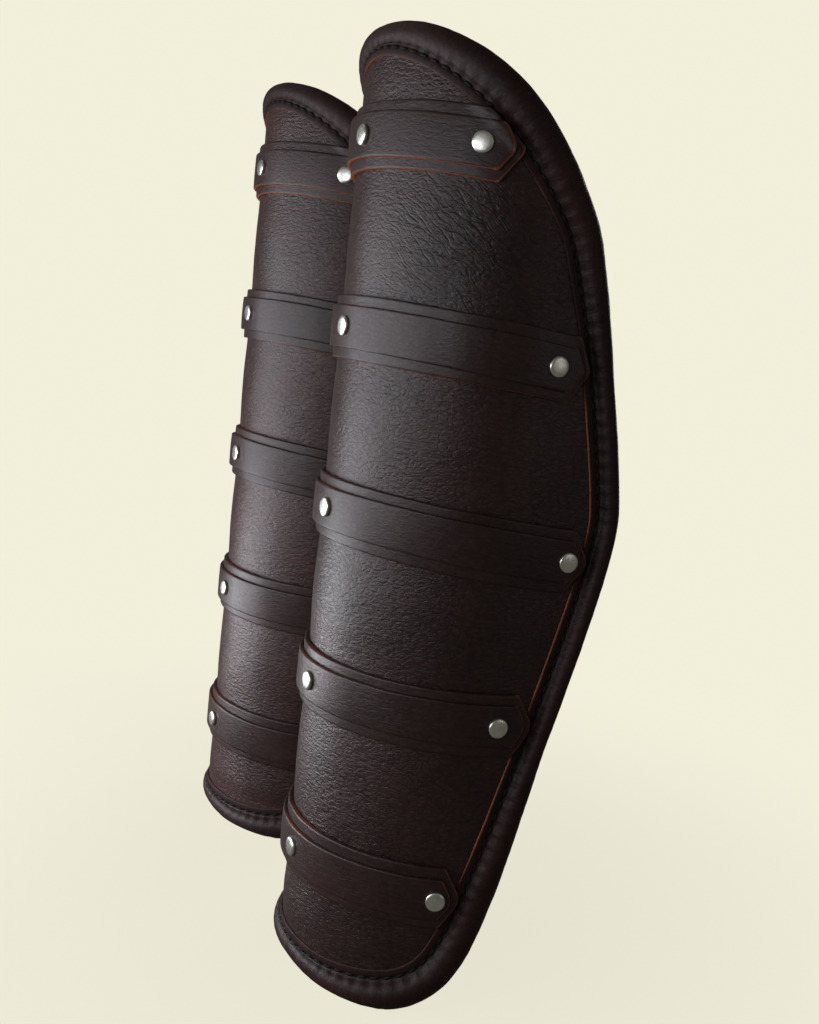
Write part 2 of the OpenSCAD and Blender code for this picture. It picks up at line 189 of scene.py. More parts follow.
def resampled(points, run, at):
    return np.stack([np.interp(at, run, column) for column in points.T], -1)


def unitRows(vectors):
    return vectors / np.linalg.norm(vectors, axis=1)[:, None]


def evenLoop(points, step):
    # closed polyline resampled to an even step
    ring = np.concatenate([points, points[:1]])
    run = runAlong(ring)
    count = int(round(run[-1] / step))
    at = np.linspace(0, run[-1], count, endpoint=False)
    return resampled(ring, run, at), at, run[-1]


mirrored = half[-2:0:-1] * np.array([-1, 1])
stitchLoop, loopRun, loopLength = evenLoop(np.concatenate([half, mirrored]), 1.0)
loopTangent = unitRows(np.roll(stitchLoop, -2, 0) - np.roll(stitchLoop, 2, 0))
loopNormal = np.stack([loopTangent[:, 1], -loopTangent[:, 0]], -1)
loopTree = KDTree(len(stitchLoop))
for index, point in enumerate(stitchLoop):
    loopTree.insert((point[0], point[1], 0), index)
loopTree.balance()


def fromEdge(s, z):
    # distance from the stitch line, negative inside, and the outward direction there
    flat = np.stack([np.ravel(s), np.ravel(z)], -1)
    hits = np.array([loopTree.find((p[0], p[1], 0))[1] for p in flat])
    t = np.einsum("ij,ij->i", flat - stitchLoop[hits], loopNormal[hits])
    return t.reshape(np.shape(s)), loopNormal[hits].reshape(np.shape(s) + (2,))


def smooth(a, b, x):
    u = np.clip((np.asarray(x, float) - a) / (b - a), 0, 1)
    return u * u * (3 - 2 * u)


def drift(x, y, size, seed):
    # smooth random surface between -1 and 1, the same on every run
    gx, gy = np.asarray(x, float) / size + 1000, np.asarray(y, float) / size + 1000
    ix, iy = np.floor(gx).astype(np.int64), np.floor(gy).astype(np.int64)
    fx, fy = gx - ix, gy - iy
    fx, fy = fx * fx * (3 - 2 * fx), fy * fy * (3 - 2 * fy)

    def corner(a, b):
        h = (a * 374761393 + b * 668265263 + seed * 144269) & 0xffffffff
        h = ((h ^ (h >> 13)) * 1274126177) & 0xffffffff
        return ((h ^ (h >> 16)) & 0xffff) / 32767.5 - 1

    low = corner(ix, iy) * (1 - fx) + corner(ix + 1, iy) * fx
    high = corner(ix, iy + 1) * (1 - fx) + corner(ix + 1, iy + 1) * fx
    return low * (1 - fy) + high * fy


# Where each greave stands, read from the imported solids
greaves = {}
for side, flip in (("left", 1), ("right", -1)):
    low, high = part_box(side + "_binding")
    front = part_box(side + "_shell")[0].y
    greaves[side] = {"shift": np.array([(low.x + high.x) / 2, front + radius * mm, 0]), "flip": flip,
                     "seed": 11 if side == "left" else 47}


def toFrame(side, points):
    g = greaves[side]
    return np.asarray(points, float) * mm * np.array([g["flip"], 1, 1]) + g["shift"]


def addAttribute(mesh, label, values):
    # vectors where there are three values for each point, or else numbers
    data = np.asarray(values, np.float32).ravel()
    vector = data.size == 3 * len(mesh.vertices)
    layer = mesh.attributes.new(label, "FLOAT_VECTOR" if vector else "FLOAT", "POINT")
    layer.data.foreach_set("vector" if vector else "value", data)


def makePiece(name, side, points, faces, flat=None, edge=None, materialName=None, crease=None):
    # points in millimetres, local to the greave; flat, edge and crease are what its material reads, crease
    # being the folds' strength on the shell and the painted shade of the stitch groove on the binding
    mesh = bpy.data.meshes.new(name)
    mesh.from_pydata(toFrame(side, points).reshape(-1, 3).tolist(), [],
                     [tuple(int(i) for i in face) for face in faces])
    for label, values in (("flat", flat), ("edge", edge), ("crease", crease)):
        if values is not None:
            addAttribute(mesh, label, values)
    turnOutwards(mesh, 2e-7)
    smoothFaces(mesh)
    mesh.update()
    if materialName:
        mesh.materials.append(materials[materialName])
    return addObject(name, mesh)


def gridFaces(rows, columns, closeRows=False, closeColumns=False):
    r = np.arange(rows if closeRows else rows - 1)
    c = np.arange(columns if closeColumns else columns - 1)
    r, c = np.meshgrid(r, c, indexing="ij")
    r2, c2 = (r + 1) % rows, (c + 1) % columns
    faces = np.stack([r * columns + c, r * columns + c2, r2 * columns + c2, r2 * columns + c], -1)
    return faces.reshape(-1, 4)


def capFaces(rows, columns):
    # the two ends of a tube of rings
    return [list(range(columns)), [(rows - 1) * columns + i for i in range(columns)][::-1]]


# materials and node trees
class Signal:
    # a node's output; arithmetic on it adds Math nodes
    def __init__(self, wiring, socket):
        self.wiring, self.socket = wiring, socket

    def math(self, operation, *values):
        return self.wiring.add("ShaderNodeMath", {"operation": operation}, values)

    def __add__(self, other):
        return self.math("ADD", self, other)

    def __radd__(self, other):
        return self.math("ADD", other, self)

    def __sub__(self, other):
        return self.math("SUBTRACT", self, other)

    def __rsub__(self, other):
        return self.math("SUBTRACT", other, self)

    def __mul__(self, other):
        return self.math("MULTIPLY", self, other)

    def __rmul__(self, other):
        return self.math("MULTIPLY", other, self)

    def bigger(self, other):
        return self.math("MAXIMUM", self, other)

    def smaller(self, other):
        return self.math("MINIMUM", self, other)

    def size(self):
        return self.math("ABSOLUTE", self)


class Wiring:
    # adds nodes to the tree of a material, a world or a geometry group
    def __init__(self, tree):
        self.tree = tree
        tree.nodes.clear()

    def add(self, kind, settings=None, inputs=None, output=0):
        node = self.tree.nodes.new(kind)
        for key, value in (settings or {}).items():
            setattr(node, key, value)
        for key, value in inputs.items() if isinstance(inputs, dict) else enumerate(inputs or []):
            if isinstance(value, Signal):
                self.tree.links.new(value.socket, node.inputs[key])
            else:
                node.inputs[key].default_value = value
        return Signal(self, node.outputs[output]) if len(node.outputs) else None

    def attribute(self, name, output="Fac"):
        return self.add("ShaderNodeAttribute", {"attribute_name": name}, output=output)

    def place(self):
        return self.add("ShaderNodeTexCoord", output="Object")

    def noise(self, where, scale, detail=3.0, roughness=0.55, distortion=0.0, output="Fac"):
        return self.add("ShaderNodeTexNoise", {}, {"Vector": where, "Scale": scale, "Detail": detail,
                                                   "Roughness": roughness, "Distortion": distortion}, output)

    def cells(self, where, scale):
        # distance from the edges between cells
        return self.add("ShaderNodeTexVoronoi", {"feature": "DISTANCE_TO_EDGE"},
                        {"Vector": where, "Scale": scale}, "Distance")

    def pebbles(self, where, scale):
        # distance from the middle of each cell, with soft borders
        return self.add("ShaderNodeTexVoronoi", {"feature": "SMOOTH_F1"},
                        {"Vector": where, "Scale": scale, "Smoothness": 0.35}, "Distance")

    def ramp(self, value, low, high):
        # from 0 at low to 1 at high, with soft ends
        return self.add("ShaderNodeMapRange", {"interpolation_type": "SMOOTHSTEP"},
                        {"Value": value, "From Min": low, "From Max": high}, "Result")

    def mix(self, fac, a, b):
        # sockets 6, 7 and output 2 are the colours'
        return self.add("ShaderNodeMix", {"data_type": "RGBA"}, {0: fac, 6: a, 7: b}, 2)

    def vector(self, operation, *values):
        return self.add("ShaderNodeVectorMath", {"operation": operation}, values, "Vector")

    def swayed(self, where, scale, reach):
        # coordinates pushed about by a noise
        return self.vector("MULTIPLY_ADD", self.noise(where, scale, 2.0, 0.5, output="Color"), reach, where)

    def bump(self, height, distance, strength=1.0, normal=None):
        inputs = {"Height": height, "Distance": distance, "Strength": strength}
        if normal is not None:
            inputs["Normal"] = normal
        return self.add("ShaderNodeBump", {}, inputs, "Normal")

    def shader(self, kind, inputs):
        return self.add("ShaderNode" + kind, {}, inputs)


def newMaterial(name):
    material = bpy.data.materials.new(name)
    material.use_nodes = True
    return material, Wiring(material.node_tree)


def finishMaterial(material, w, inputs):
    w.shader("OutputMaterial", {"Surface": w.shader("BsdfPrincipled", inputs)})
    return material


def rgb(r, g, b):
    return (r, g, b, 1.0)


# relief depths in metres, scales per metre
# seam colours the grain's own net between pebbles, and as painted shade the crease valleys and the stitch
# groove
shellLook = {
    "deep": rgb(0.015, 0.006, 0.006), "warm": rgb(0.040, 0.0142, 0.0138), "worn": rgb(0.076, 0.031, 0.029),
    "seam": rgb(0.004, 0.002, 0.002), "gloss": 0.26, "shine": 0.38, "pebble": 640.0, "pull": 0.55,
    "pebbleDepth": 0.00012, "wrinkleDepth": 0.00010, "streak": (0.42, 1.0, 1.0), "net": 0.50,
    "creases": 260.0, "creaseTurn": 0.66, "creaseDepth": 0.00015,
}
# the pattern that all hides share: scales, reaches in metres, and shares of the height and of the tones, one
# of them the painted shade of the stitch groove
hide = {
    "wobble": 260.0, "wobbleReach": (0.0016, 0.0016, 0.0016), "broad": 14.0, "patches": 46.0, "slack": 22.0,
    "folds": 210.0, "fine": 520.0, "streaks": 700.0, "fray": 900.0, "netScale": 0.70, "netWidth": 0.15,
    "sway": 70.0, "swayReach": (0.007, 0.007, 0.0), "creaseLength": (0.17, 1.0, 1.0), "creaseWidth": 0.10,
    "secondScale": 2.1, "secondWidth": 0.14, "secondShare": 0.55,
    "grainHeight": 0.42, "fineHeight": 0.12, "streakHeight": 0.50,
    "crownTone": 0.30, "streakTone": 0.42, "fineTone": 0.45, "seamTone": 0.30,
}


def creasedFolds(w, look, flat):
    # long creases of two sizes where the piece's crease value lets them show
    swayed = w.swayed(flat, hide["sway"], hide["swayReach"])
    turned = w.add("ShaderNodeVectorRotate", {"rotation_type": "Z_AXIS"},
                   {"Vector": swayed, "Angle": look["creaseTurn"]})
    long = w.vector("MULTIPLY", turned, hide["creaseLength"])
    first = 1.0 - w.ramp(w.cells(long, look["creases"]), 0.0, hide["creaseWidth"])
    aside = w.vector("ADD", long, (0.3, 0.2, 0.1))
    second = 1.0 - w.ramp(w.cells(aside, look["creases"] * hide["secondScale"]), 0.0, hide["secondWidth"])
    return (first + second * hide["secondShare"]) * w.attribute("crease")


def rawEdge(w, look, flat, edge):
    # undyed, frayed leather where the edge value is high; above 1 it turns paler: painted light on the band
    # tips, and paler bare leather on band 1's lower edges and the binding's sides
    fray = w.noise(w.vector("MULTIPLY", flat, (1.0, 1.0, 6.0)), hide["fray"], 4.0, 0.7)
    raw = w.mix(w.ramp(fray, 0.30, 0.72), look["rawDark"], look["raw"])
    return w.mix(w.ramp(edge, 1.0, 1.35), raw, look["paleRawAndPaintedLight"])


def leather(name, look, edges=False, creased=False, seamed=False):
    material, w = newMaterial(name)
    flat = w.attribute("flat", "Vector")
    bent = w.vector("MULTIPLY", w.swayed(flat, hide["wobble"], hide["wobbleReach"]), (look["pull"], 1.0, 1.0))
    broad = w.noise(flat, hide["broad"], 4.0)
    patches = w.noise(w.vector("ADD", flat, (0.31, 0.17, 0.05)), hide["patches"], 5.0, 0.6)
    grain = 1.0 - w.ramp(w.pebbles(bent, look["pebble"]), 0.12, 0.62)
    plates = w.ramp(w.cells(bent, look["pebble"] * hide["netScale"]), 0.0, hide["netWidth"])
    folds = w.noise(w.vector("MULTIPLY", bent, (0.42, 1.0, 1.0)), hide["folds"], 4.0, 0.62, 0.35)
    fine = w.noise(w.vector("MULTIPLY", bent, (0.6, 1.0, 1.0)), hide["fine"], 3.0, 0.6, 0.2)
    fine = w.ramp((fine - 0.5).size(), 0.0, 0.09)
    slack = w.ramp(w.noise(w.vector("ADD", flat, (0.7, 0.4, 0.2)), hide["slack"], 3.0), 0.40, 0.66)
    streaks = w.noise(w.vector("MULTIPLY", flat, look["streak"]), hide["streaks"], 3.0, 0.6)
    streaks = w.ramp(streaks, 0.36, 0.64)

    deepBump = w.bump(w.ramp((folds - 0.5).size(), 0.0, 0.075) * slack, look["wrinkleDepth"], 0.8)
    if creased:
        valley = creasedFolds(w, look, flat)
        deepBump = w.bump(1.0 - valley, look["creaseDepth"], 0.9, deepBump)
    height = grain * hide["grainHeight"] + plates * look["net"] + fine * hide["fineHeight"]
    normal = w.bump(height + streaks * hide["streakHeight"], look["pebbleDepth"], 1.0, deepBump)

    colour = w.mix(w.ramp(broad * 0.6 + patches * 0.5, 0.36, 0.74), look["deep"], look["warm"])
    crown = grain * w.ramp(patches, 0.42, 0.70)
    colour = w.mix(crown * hide["crownTone"], colour, look["worn"])
    colour = w.mix(streaks * hide["streakTone"], colour, look["worn"])
    colour = w.mix((1.0 - plates) * look["net"], colour, look["seam"])
    colour = w.mix((1.0 - fine) * hide["fineTone"], colour, look["deep"])
    if creased:
        # painted shade: the crease valleys are coloured darker
        colour = w.mix((valley * 0.8).smaller(0.9), colour, look["seam"])
    if seamed:
        # painted shade: the stitch groove is coloured darker where the crease value is high
        colour = w.mix(w.attribute("crease") * hide["seamTone"], colour, look["seam"])
    roughness = look["gloss"] + patches * 0.12 + (1.0 - grain) * 0.08
    if edges:
        edge = w.attribute("edge")
        mask = w.ramp(edge + (patches - 0.5) * 0.90, 0.36, 0.76)
        colour = w.mix(mask, colour, rawEdge(w, look, flat, edge))
        roughness = roughness + mask * 0.22
    return finishMaterial(material, w, {"Base Color": colour, "Roughness": roughness, "Normal": normal,
                                        "IOR": 1.5, "Specular IOR Level": look["shine"]})


bandLook = dict(
    shellLook, deep=rgb(0.0135, 0.0054, 0.0054), warm=rgb(0.037, 0.0142, 0.0134),
    worn=rgb(0.060, 0.026, 0.024), pebble=900.0, pebbleDepth=0.00005, wrinkleDepth=0.00006, net=0.15,
    gloss=0.27, raw=rgb(0.30, 0.082, 0.038), rawDark=rgb(0.085, 0.024, 0.014),
    paleRawAndPaintedLight=rgb(0.52, 0.150, 0.064))
bindingLook = dict(
    bandLook, deep=rgb(0.012, 0.0054, 0.005), warm=rgb(0.039, 0.0138, 0.013), worn=rgb(0.046, 0.019, 0.0175),
    pebble=760.0, pebbleDepth=0.00008, wrinkleDepth=0.00010, gloss=0.40, shine=0.21,
    raw=rgb(0.30, 0.095, 0.042), paleRawAndPaintedLight=rgb(0.52, 0.180, 0.085))
strapLook = dict(bandLook, warm=rgb(0.050, 0.024, 0.018), gloss=0.38)
# the far greave's shell: the same leather painted lighter and warmer, as painted light
farShellLitLook = dict(shellLook, warm=rgb(0.056, 0.0205, 0.0195), worn=rgb(0.105, 0.044, 0.041))
suedeLook = {"dark": rgb(0.085, 0.045, 0.027), "pale": rgb(0.165, 0.092, 0.055), "nap": rgb(0.22, 0.13, 0.08),
             "depth": 0.00022}
threadLook = {"dark": rgb(0.0022, 0.0020, 0.0022), "pale": rgb(0.0075, 0.0066, 0.0068), "depth": 0.00010}
capLook = {"clean": rgb(0.84, 0.83, 0.79), "dull": rgb(0.54, 0.53, 0.49), "gloss": 0.22, "depth": 0.00002}
buckleLook = dict(capLook, clean=rgb(0.62, 0.61, 0.59), dull=rgb(0.36, 0.35, 0.33))


def suede(name, look):
    material, w = newMaterial(name)
    flat = w.attribute("flat", "Vector")
    nap = w.noise(flat, 1500.0, 4.0, 0.7)
    cloud = w.noise(flat, 28.0, 4.0)
    rub = w.noise(w.vector("MULTIPLY", flat, (1.0, 0.35, 1.0)), 120.0, 3.0)
    colour = w.mix(w.ramp(cloud * 0.6 + rub * 0.5, 0.35, 0.75), look["dark"], look["pale"])
    colour = w.mix(w.ramp(nap, 0.35, 0.75) * 0.45, colour, look["nap"])
    return finishMaterial(material, w, {
        "Base Color": colour, "Roughness": 0.86 + cloud * 0.10, "Sheen Weight": 0.25, "Sheen Roughness": 0.5,
        "Normal": w.bump(nap + rub * 0.4, look["depth"])})


def thread(name, look):
    material, w = newMaterial(name)
    twist = w.noise(w.place(), 2600.0, 3.0, 0.7)
    return finishMaterial(material, w, {
        "Base Color": w.mix(twist, look["dark"], look["pale"]), "Roughness": 0.62 + twist * 0.25,
        "Normal": w.bump(twist, look["depth"]), "Specular IOR Level": 0.25})


def metal(name, look):
    material, w = newMaterial(name)
    here = w.place()
    haze = w.noise(here, 320.0, 4.0, 0.6)
    scratch = w.noise(w.vector("MULTIPLY", here, (1.0, 7.0, 1.4)), 900.0, 3.0, 0.6)
    spots = w.ramp(w.noise(here, 1100.0, 3.0), 0.60, 0.72)
    colour = w.mix(w.ramp(haze, 0.35, 0.75) * 0.6, look["clean"], look["dull"])
    return finishMaterial(material, w, {
        "Base Color": w.mix(spots * 0.5, colour, look["dull"]), "Metallic": 1.0,
        "Roughness": look["gloss"] + haze * 0.14 + w.ramp(scratch, 0.52, 0.70) * 0.14,
        "Normal": w.bump(scratch, look["depth"])})


materials = {
    "leftShell": leather("shellLeather", shellLook, creased=True),
    "rightShell": leather("paleShellLeather", farShellLitLook, creased=True),
    "band": leather("bandLeather", bandLook, True),
    "binding": leather("bindingLeather", bindingLook, True, seamed=True),
    "strap": leather("strapLeather", strapLook, True),
    "lining": suede("liningSuede", suedeLook),
    "thread": thread("waxedThread", threadLook),
    "nickel": metal("nickelCaps", capLook),
    "buckle": metal("buckleNickel", buckleLook),
}
print("materials ready")

# geometry nodes: what repeats along a path, in millimetres
stitchShape = {"length": 4.3, "radius": 0.72, "pitch": 6.0, "slant": 0.10, "sides": 8, "rings": 6,
               "taper": 0.42, "flatten": 0.92, "dive": 0.62}
# the domes are shares of the radius and the height
capShape = {
    "radius": 4.4, "height": 1.75, "skirt": 0.35, "sides": 32,
    "dome": [(1, 0), (1, 0.42), (0.988, 0.56), (0.955, 0.68), (0.90, 0.78), (0.82, 0.855), (0.70, 0.91),
             (0.52, 0.955), (0.32, 0.985), (0.12, 1), (0, 1)],
}
washerShape = {
    "radius": 3.8, "height": 0.8, "sides": 20,
    "dome": [(0, 0), (0.94, 0), (1, 0.12), (1, 0.7), (0.93, 1), (0.62, 1), (0.52, 1.35),
             (0.36, 1.5), (0, 1.5)],
}


def repeatTree():
    tree = bpy.data.node_groups.new("repeatOnPath", "GeometryNodeTree")
    w = Wiring(tree)
    for name, kind in (("Geometry", "Geometry"), ("Shape", "Object"), ("Spacing", "Float"),
                       ("Along path", "Bool"), ("Slant", "Float"), ("Material", "Material")):
        tree.interface.new_socket(name, in_out="INPUT", socket_type="NodeSocket" + kind)
    tree.interface.new_socket("Geometry", in_out="OUTPUT", socket_type="NodeSocketGeometry")
    start = tree.nodes.new("NodeGroupInput")
    given = {socket.name: Signal(w, socket) for socket in start.outputs if socket.name}

    def named(name):
        return w.add("GeometryNodeInputNamedAttribute", {"data_type": "FLOAT_VECTOR"},
                     {"Name": name}, "Attribute")

    curve = w.add("GeometryNodeMeshToCurve", {}, [given["Geometry"]])
    even = w.add("GeometryNodeResampleCurve", {"mode": "LENGTH"},
                 {"Curve": curve, "Length": given["Spacing"]})
    kept = w.add("GeometryNodeStoreNamedAttribute", {"data_type": "FLOAT_VECTOR", "domain": "POINT"},
                 {"Geometry": even, "Name": "ahead", "Value": w.add("GeometryNodeInputTangent")})
    points = w.add("GeometryNodeSwitch", {"input_type": "GEOMETRY"},
                   {"Switch": given["Along path"], "False": given["Geometry"], "True": kept})
    turn = w.add("FunctionNodeAxesToRotation", {"primary_axis": "Z", "secondary_axis": "X"},
                 {"Primary Axis": named("outward"), "Secondary Axis": named("ahead")})
    tilt = w.add("FunctionNodeAxisAngleToRotation", {}, {"Axis": (0, 0, 1), "Angle": given["Slant"]})
    both = w.add("FunctionNodeRotateRotation", {"rotation_space": "LOCAL"}, [turn, tilt])
    shape = w.add("GeometryNodeObjectInfo", {}, {"Object": given["Shape"]}, "Geometry")
    placed = w.add("GeometryNodeInstanceOnPoints", {},
                   {"Points": points, "Instance": shape, "Rotation": both})
    real = w.add("GeometryNodeRealizeInstances", {}, [placed])
    painted = w.add("GeometryNodeSetMaterial", {}, {"Geometry": real, "Material": given["Material"]})
    w.add("NodeGroupOutput", {}, [painted])
    return tree


repeater = repeatTree()
socketId = {item.name: item.identifier for item in repeater.interface.items_tree if item.in_out == "INPUT"}


def lathe(profile, sides):
    # closed solid of revolution about Z from (radius, height) pairs that start and end on the axis
    angles = 2 * math.pi * np.arange(sides) / sides
    inner = profile[1:-1]
    points = [(r * math.cos(a), r * math.sin(a), h) for r, h in inner for a in angles]
    faces = gridFaces(len(inner), sides, closeColumns=True).tolist()
    first, last = len(points), len(points) + 1
    points += [(0, 0, profile[0][1]), (0, 0, profile[-1][1])]
    end = (len(inner) - 1) * sides
    for i in range(sides):
        faces.append([first, (i + 1) % sides, i])
        faces.append([last, end + i, end + (i + 1) % sides])
    return points, faces


def helperShape(name, points, faces):
    mesh = bpy.data.meshes.new(name)
    mesh.from_pydata([tuple(c * mm for c in p) for p in points], [], [tuple(f) for f in faces])
    turnOutwards(mesh)
    smoothFaces(mesh)
    return bpy.data.objects.new(name, mesh)


def stitchSolid():
    # a thread that dives into its holes at both ends
    length, r, sides, rings = (stitchShape[k] for k in ("length", "radius", "sides", "rings"))
    points = []
    for i in range(rings):
        u = -1 + 2 * i / (rings - 1)
        fat = r * (1 - stitchShape["taper"] * abs(u) ** 5)
        for j in range(sides):
            a = 2 * math.pi * j / sides
            points.append((u * length / 2, fat * stitchShape["flatten"] * math.cos(a),
                           fat * math.sin(a) - stitchShape["dive"] * abs(u) ** 3.2))
    return helperShape("stitchSolid", points,
                       gridFaces(rings, sides, closeColumns=True).tolist() + capFaces(rings, sides))


def domeProfile(shape):
    return [(shape["radius"] * u, shape["height"] * v) for u, v in shape["dome"]]


def capSolid():
    r, skirt = capShape["radius"], capShape["skirt"]
    profile = [(0, -skirt), (r * 0.96, -skirt), (r * 0.99, -0.2)] + domeProfile(capShape)
    return helperShape("capSolid", *lathe(profile, capShape["sides"]))


def washerSolid():
    return helperShape("washerSolid", *lathe(domeProfile(washerShape), washerShape["sides"]))


shapes = {"stitch": stitchSolid(), "cap": capSolid(), "washer": washerSolid()}


def repeatShape(name, points, outward, ahead, shape, spacing, slant, materialName):
    # points in metres, a closed path, or single places where ahead is given
    mesh = bpy.data.meshes.new(name + "Path")
    count = len(points)
    edges = [(i, (i + 1) % count) for i in range(count)] if ahead is None else []
    mesh.from_pydata(np.asarray(points).tolist(), edges, [])
    for label, values in (("outward", outward), ("ahead", ahead)):
        if values is not None:
            addAttribute(mesh, label, values)
    path = addObject(name + "Path", mesh)
    modifier = path.modifiers.new("repeat", "NODES")
    modifier.node_group = repeater
    modifier[socketId["Shape"]] = shapes[shape]
    modifier[socketId["Spacing"]] = spacing * mm
    modifier[socketId["Along path"]] = ahead is None
    modifier[socketId["Slant"]] = slant
    modifier[socketId["Material"]] = materials[materialName]
    made = appliedMesh(path)
    made.name = name
    bpy.data.objects.remove(path)
    for label in ("outward", "ahead"):
        if label in made.attributes:
            made.attributes.remove(made.attributes[label])
    return addObject(name, made)


def joinPieces(name, parts):
    # one mesh from several that have the same material slots
    mesh, work = bpy.data.meshes.new(name), bmesh.new()
    for part in parts:
        work.from_mesh(part.data)
    work.to_mesh(mesh)
    work.free()
    for material in parts[0].data.materials:
        mesh.materials.append(material)
    for part in parts:
        bpy.data.objects.remove(part)
    return addObject(name, mesh)


def settle(piece, body, slotName, *nodes):
    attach(piece, body)
    if nodes:
        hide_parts(*nodes)


# shell and lining
shellShape = {"columns": 158, "rows": 248, "outer": 0.0, "inner": -3.0, "overhang": 0.6,
              "belly": 0.45, "ripple": 0.16, "swell": 0.22, "sink": 0.05}
liningShape = {"columns": 96, "rows": 150, "outer": -3.05, "inner": -4.5, "overhang": -4.0}
creaseShape = {"s": 52.0, "z": 332.0, "wide": 34.0, "tall": 27.0, "patch": 34.0,
               "loose": 0.05, "left": 1.0, "right": 0.30}
bands = {"lowest": 55.0, "pitch": 79.5, "dropLow": 2.0, "dropHigh": 7.0, "underWidth": 27.5, "topWidth": 18.5}


def bandHeight(k):
    return bands["lowest"] + (5 - k) * bands["pitch"]


def bandDrop(k):
    return bands["dropLow"] if k > 3 else bands["dropHigh"]


def bandLevel(k, s):
    # height of the band's middle line, which falls from the shin to the flat sides
    return bandHeight(k) - bandDrop(k) * (1 + wall(s, 0, 0)[..., 1] / radius)


def creaseAt(side, s, z):
    # where the hide has been folded: strongest under the upper band
    c = creaseShape
    fold = np.exp(-((np.abs(s) - c["s"]) / c["wide"]) ** 2 - ((z - c["z"]) / c["tall"]) ** 2)
    loose = smooth(0.0, 0.9, drift(s, z, c["patch"], greaves[side]["seed"] + 77))
    return np.clip(c[side] * fold + c["loose"] * loose, 0, 1)


def leatherSheet(name, side, shape, materialName, face):
    # a closed sheet that fills the outline, face(s, z) is added to its outer side
    columns, rows, overhang = shape["columns"], shape["rows"], shape["overhang"]
    widestS = half[widest, 0]
    s = (widestS + overhang) * np.sin(np.linspace(-math.pi / 2, math.pi / 2, columns))
    inside = np.clip(np.abs(s), 0, widestS)
    low, high = lowerEdge(inside) - overhang, upperEdge(inside) + overhang
    low[[0, -1]] = high[[0, -1]] = half[widest, 1]
    v = np.linspace(0, 1, rows)[None, :]
    z = low[:, None] * (1 - v) + high[:, None] * v
    s = np.repeat(s[:, None], rows, 1)
    points = np.concatenate([wall(s, z, shape["outer"] + face(s, z)), wall(s, z, shape["inner"])])
    count = columns * rows
    faces = gridFaces(columns, rows).tolist()
    faces += (gridFaces(columns, rows)[:, ::-1] + count).tolist()
    for c in range(columns - 1):
        for r in (0, rows - 1):
            a, b = c * rows + r, (c + 1) * rows + r
            faces.append([a, b, b + count, a + count])
    flat = np.stack([s, z, 0 * s], -1) * mm + greaves[side]["seed"] * 0.13
    crease = creaseAt(side, s, z)
    return makePiece(name, side, points, faces, np.concatenate([flat, flat]), None, materialName,
                     np.concatenate([crease, crease]))


def shellFace(side):
    seed, look = greaves[side]["seed"], shellShape

    def face(s, z):
        # slack between the bands, calm under them and beside the binding
        between = np.ones_like(s)
        for k in range(1, 6):
            between = np.minimum(between, smooth(12, 36, np.abs(z - bandLevel(k, s))))
        calm = smooth(-3, -16, fromEdge(s, z)[0])
        belly = look["belly"] * between * calm
        swell = look["swell"] * drift(s, z, 34, seed) * between * calm
        patch = smooth(-0.2, 0.7, drift(s, z, 40, seed + 9))
        ripple = look["ripple"] * drift(s * 0.45, z, 6.5, seed + 5) * calm * patch
        return belly + swell + ripple * between - look["sink"]
    return face


# edge binding
bindingShape = {
    "shin": 9.3, "foot": 13.5, "calf": 8.8, "knee": 15.0, "marks": (61, 123, 283, 376),     # widths by height
    "rollShin": 1.8, "rollSide": 6.2, "grow": 64.0, "rollTurn": (166, -126), "arc": 26,
    "flange": 4.35, "flangeTop": 0.95, "inner": -4.5, "pucker": 0.46, "lump": 0.26,
}


def rimAt(s, z):
    b = bindingShape
    side = np.interp(z, b["marks"], (b["foot"], b["calf"], b["calf"], b["knee"]))
    return b["shin"] + (side - b["shin"]) * smooth(0, b["grow"], np.abs(s))


def rollAt(s):
    b = bindingShape
    return b["rollShin"] + (b["rollSide"] - b["rollShin"]) * smooth(0, b["grow"], np.abs(s))


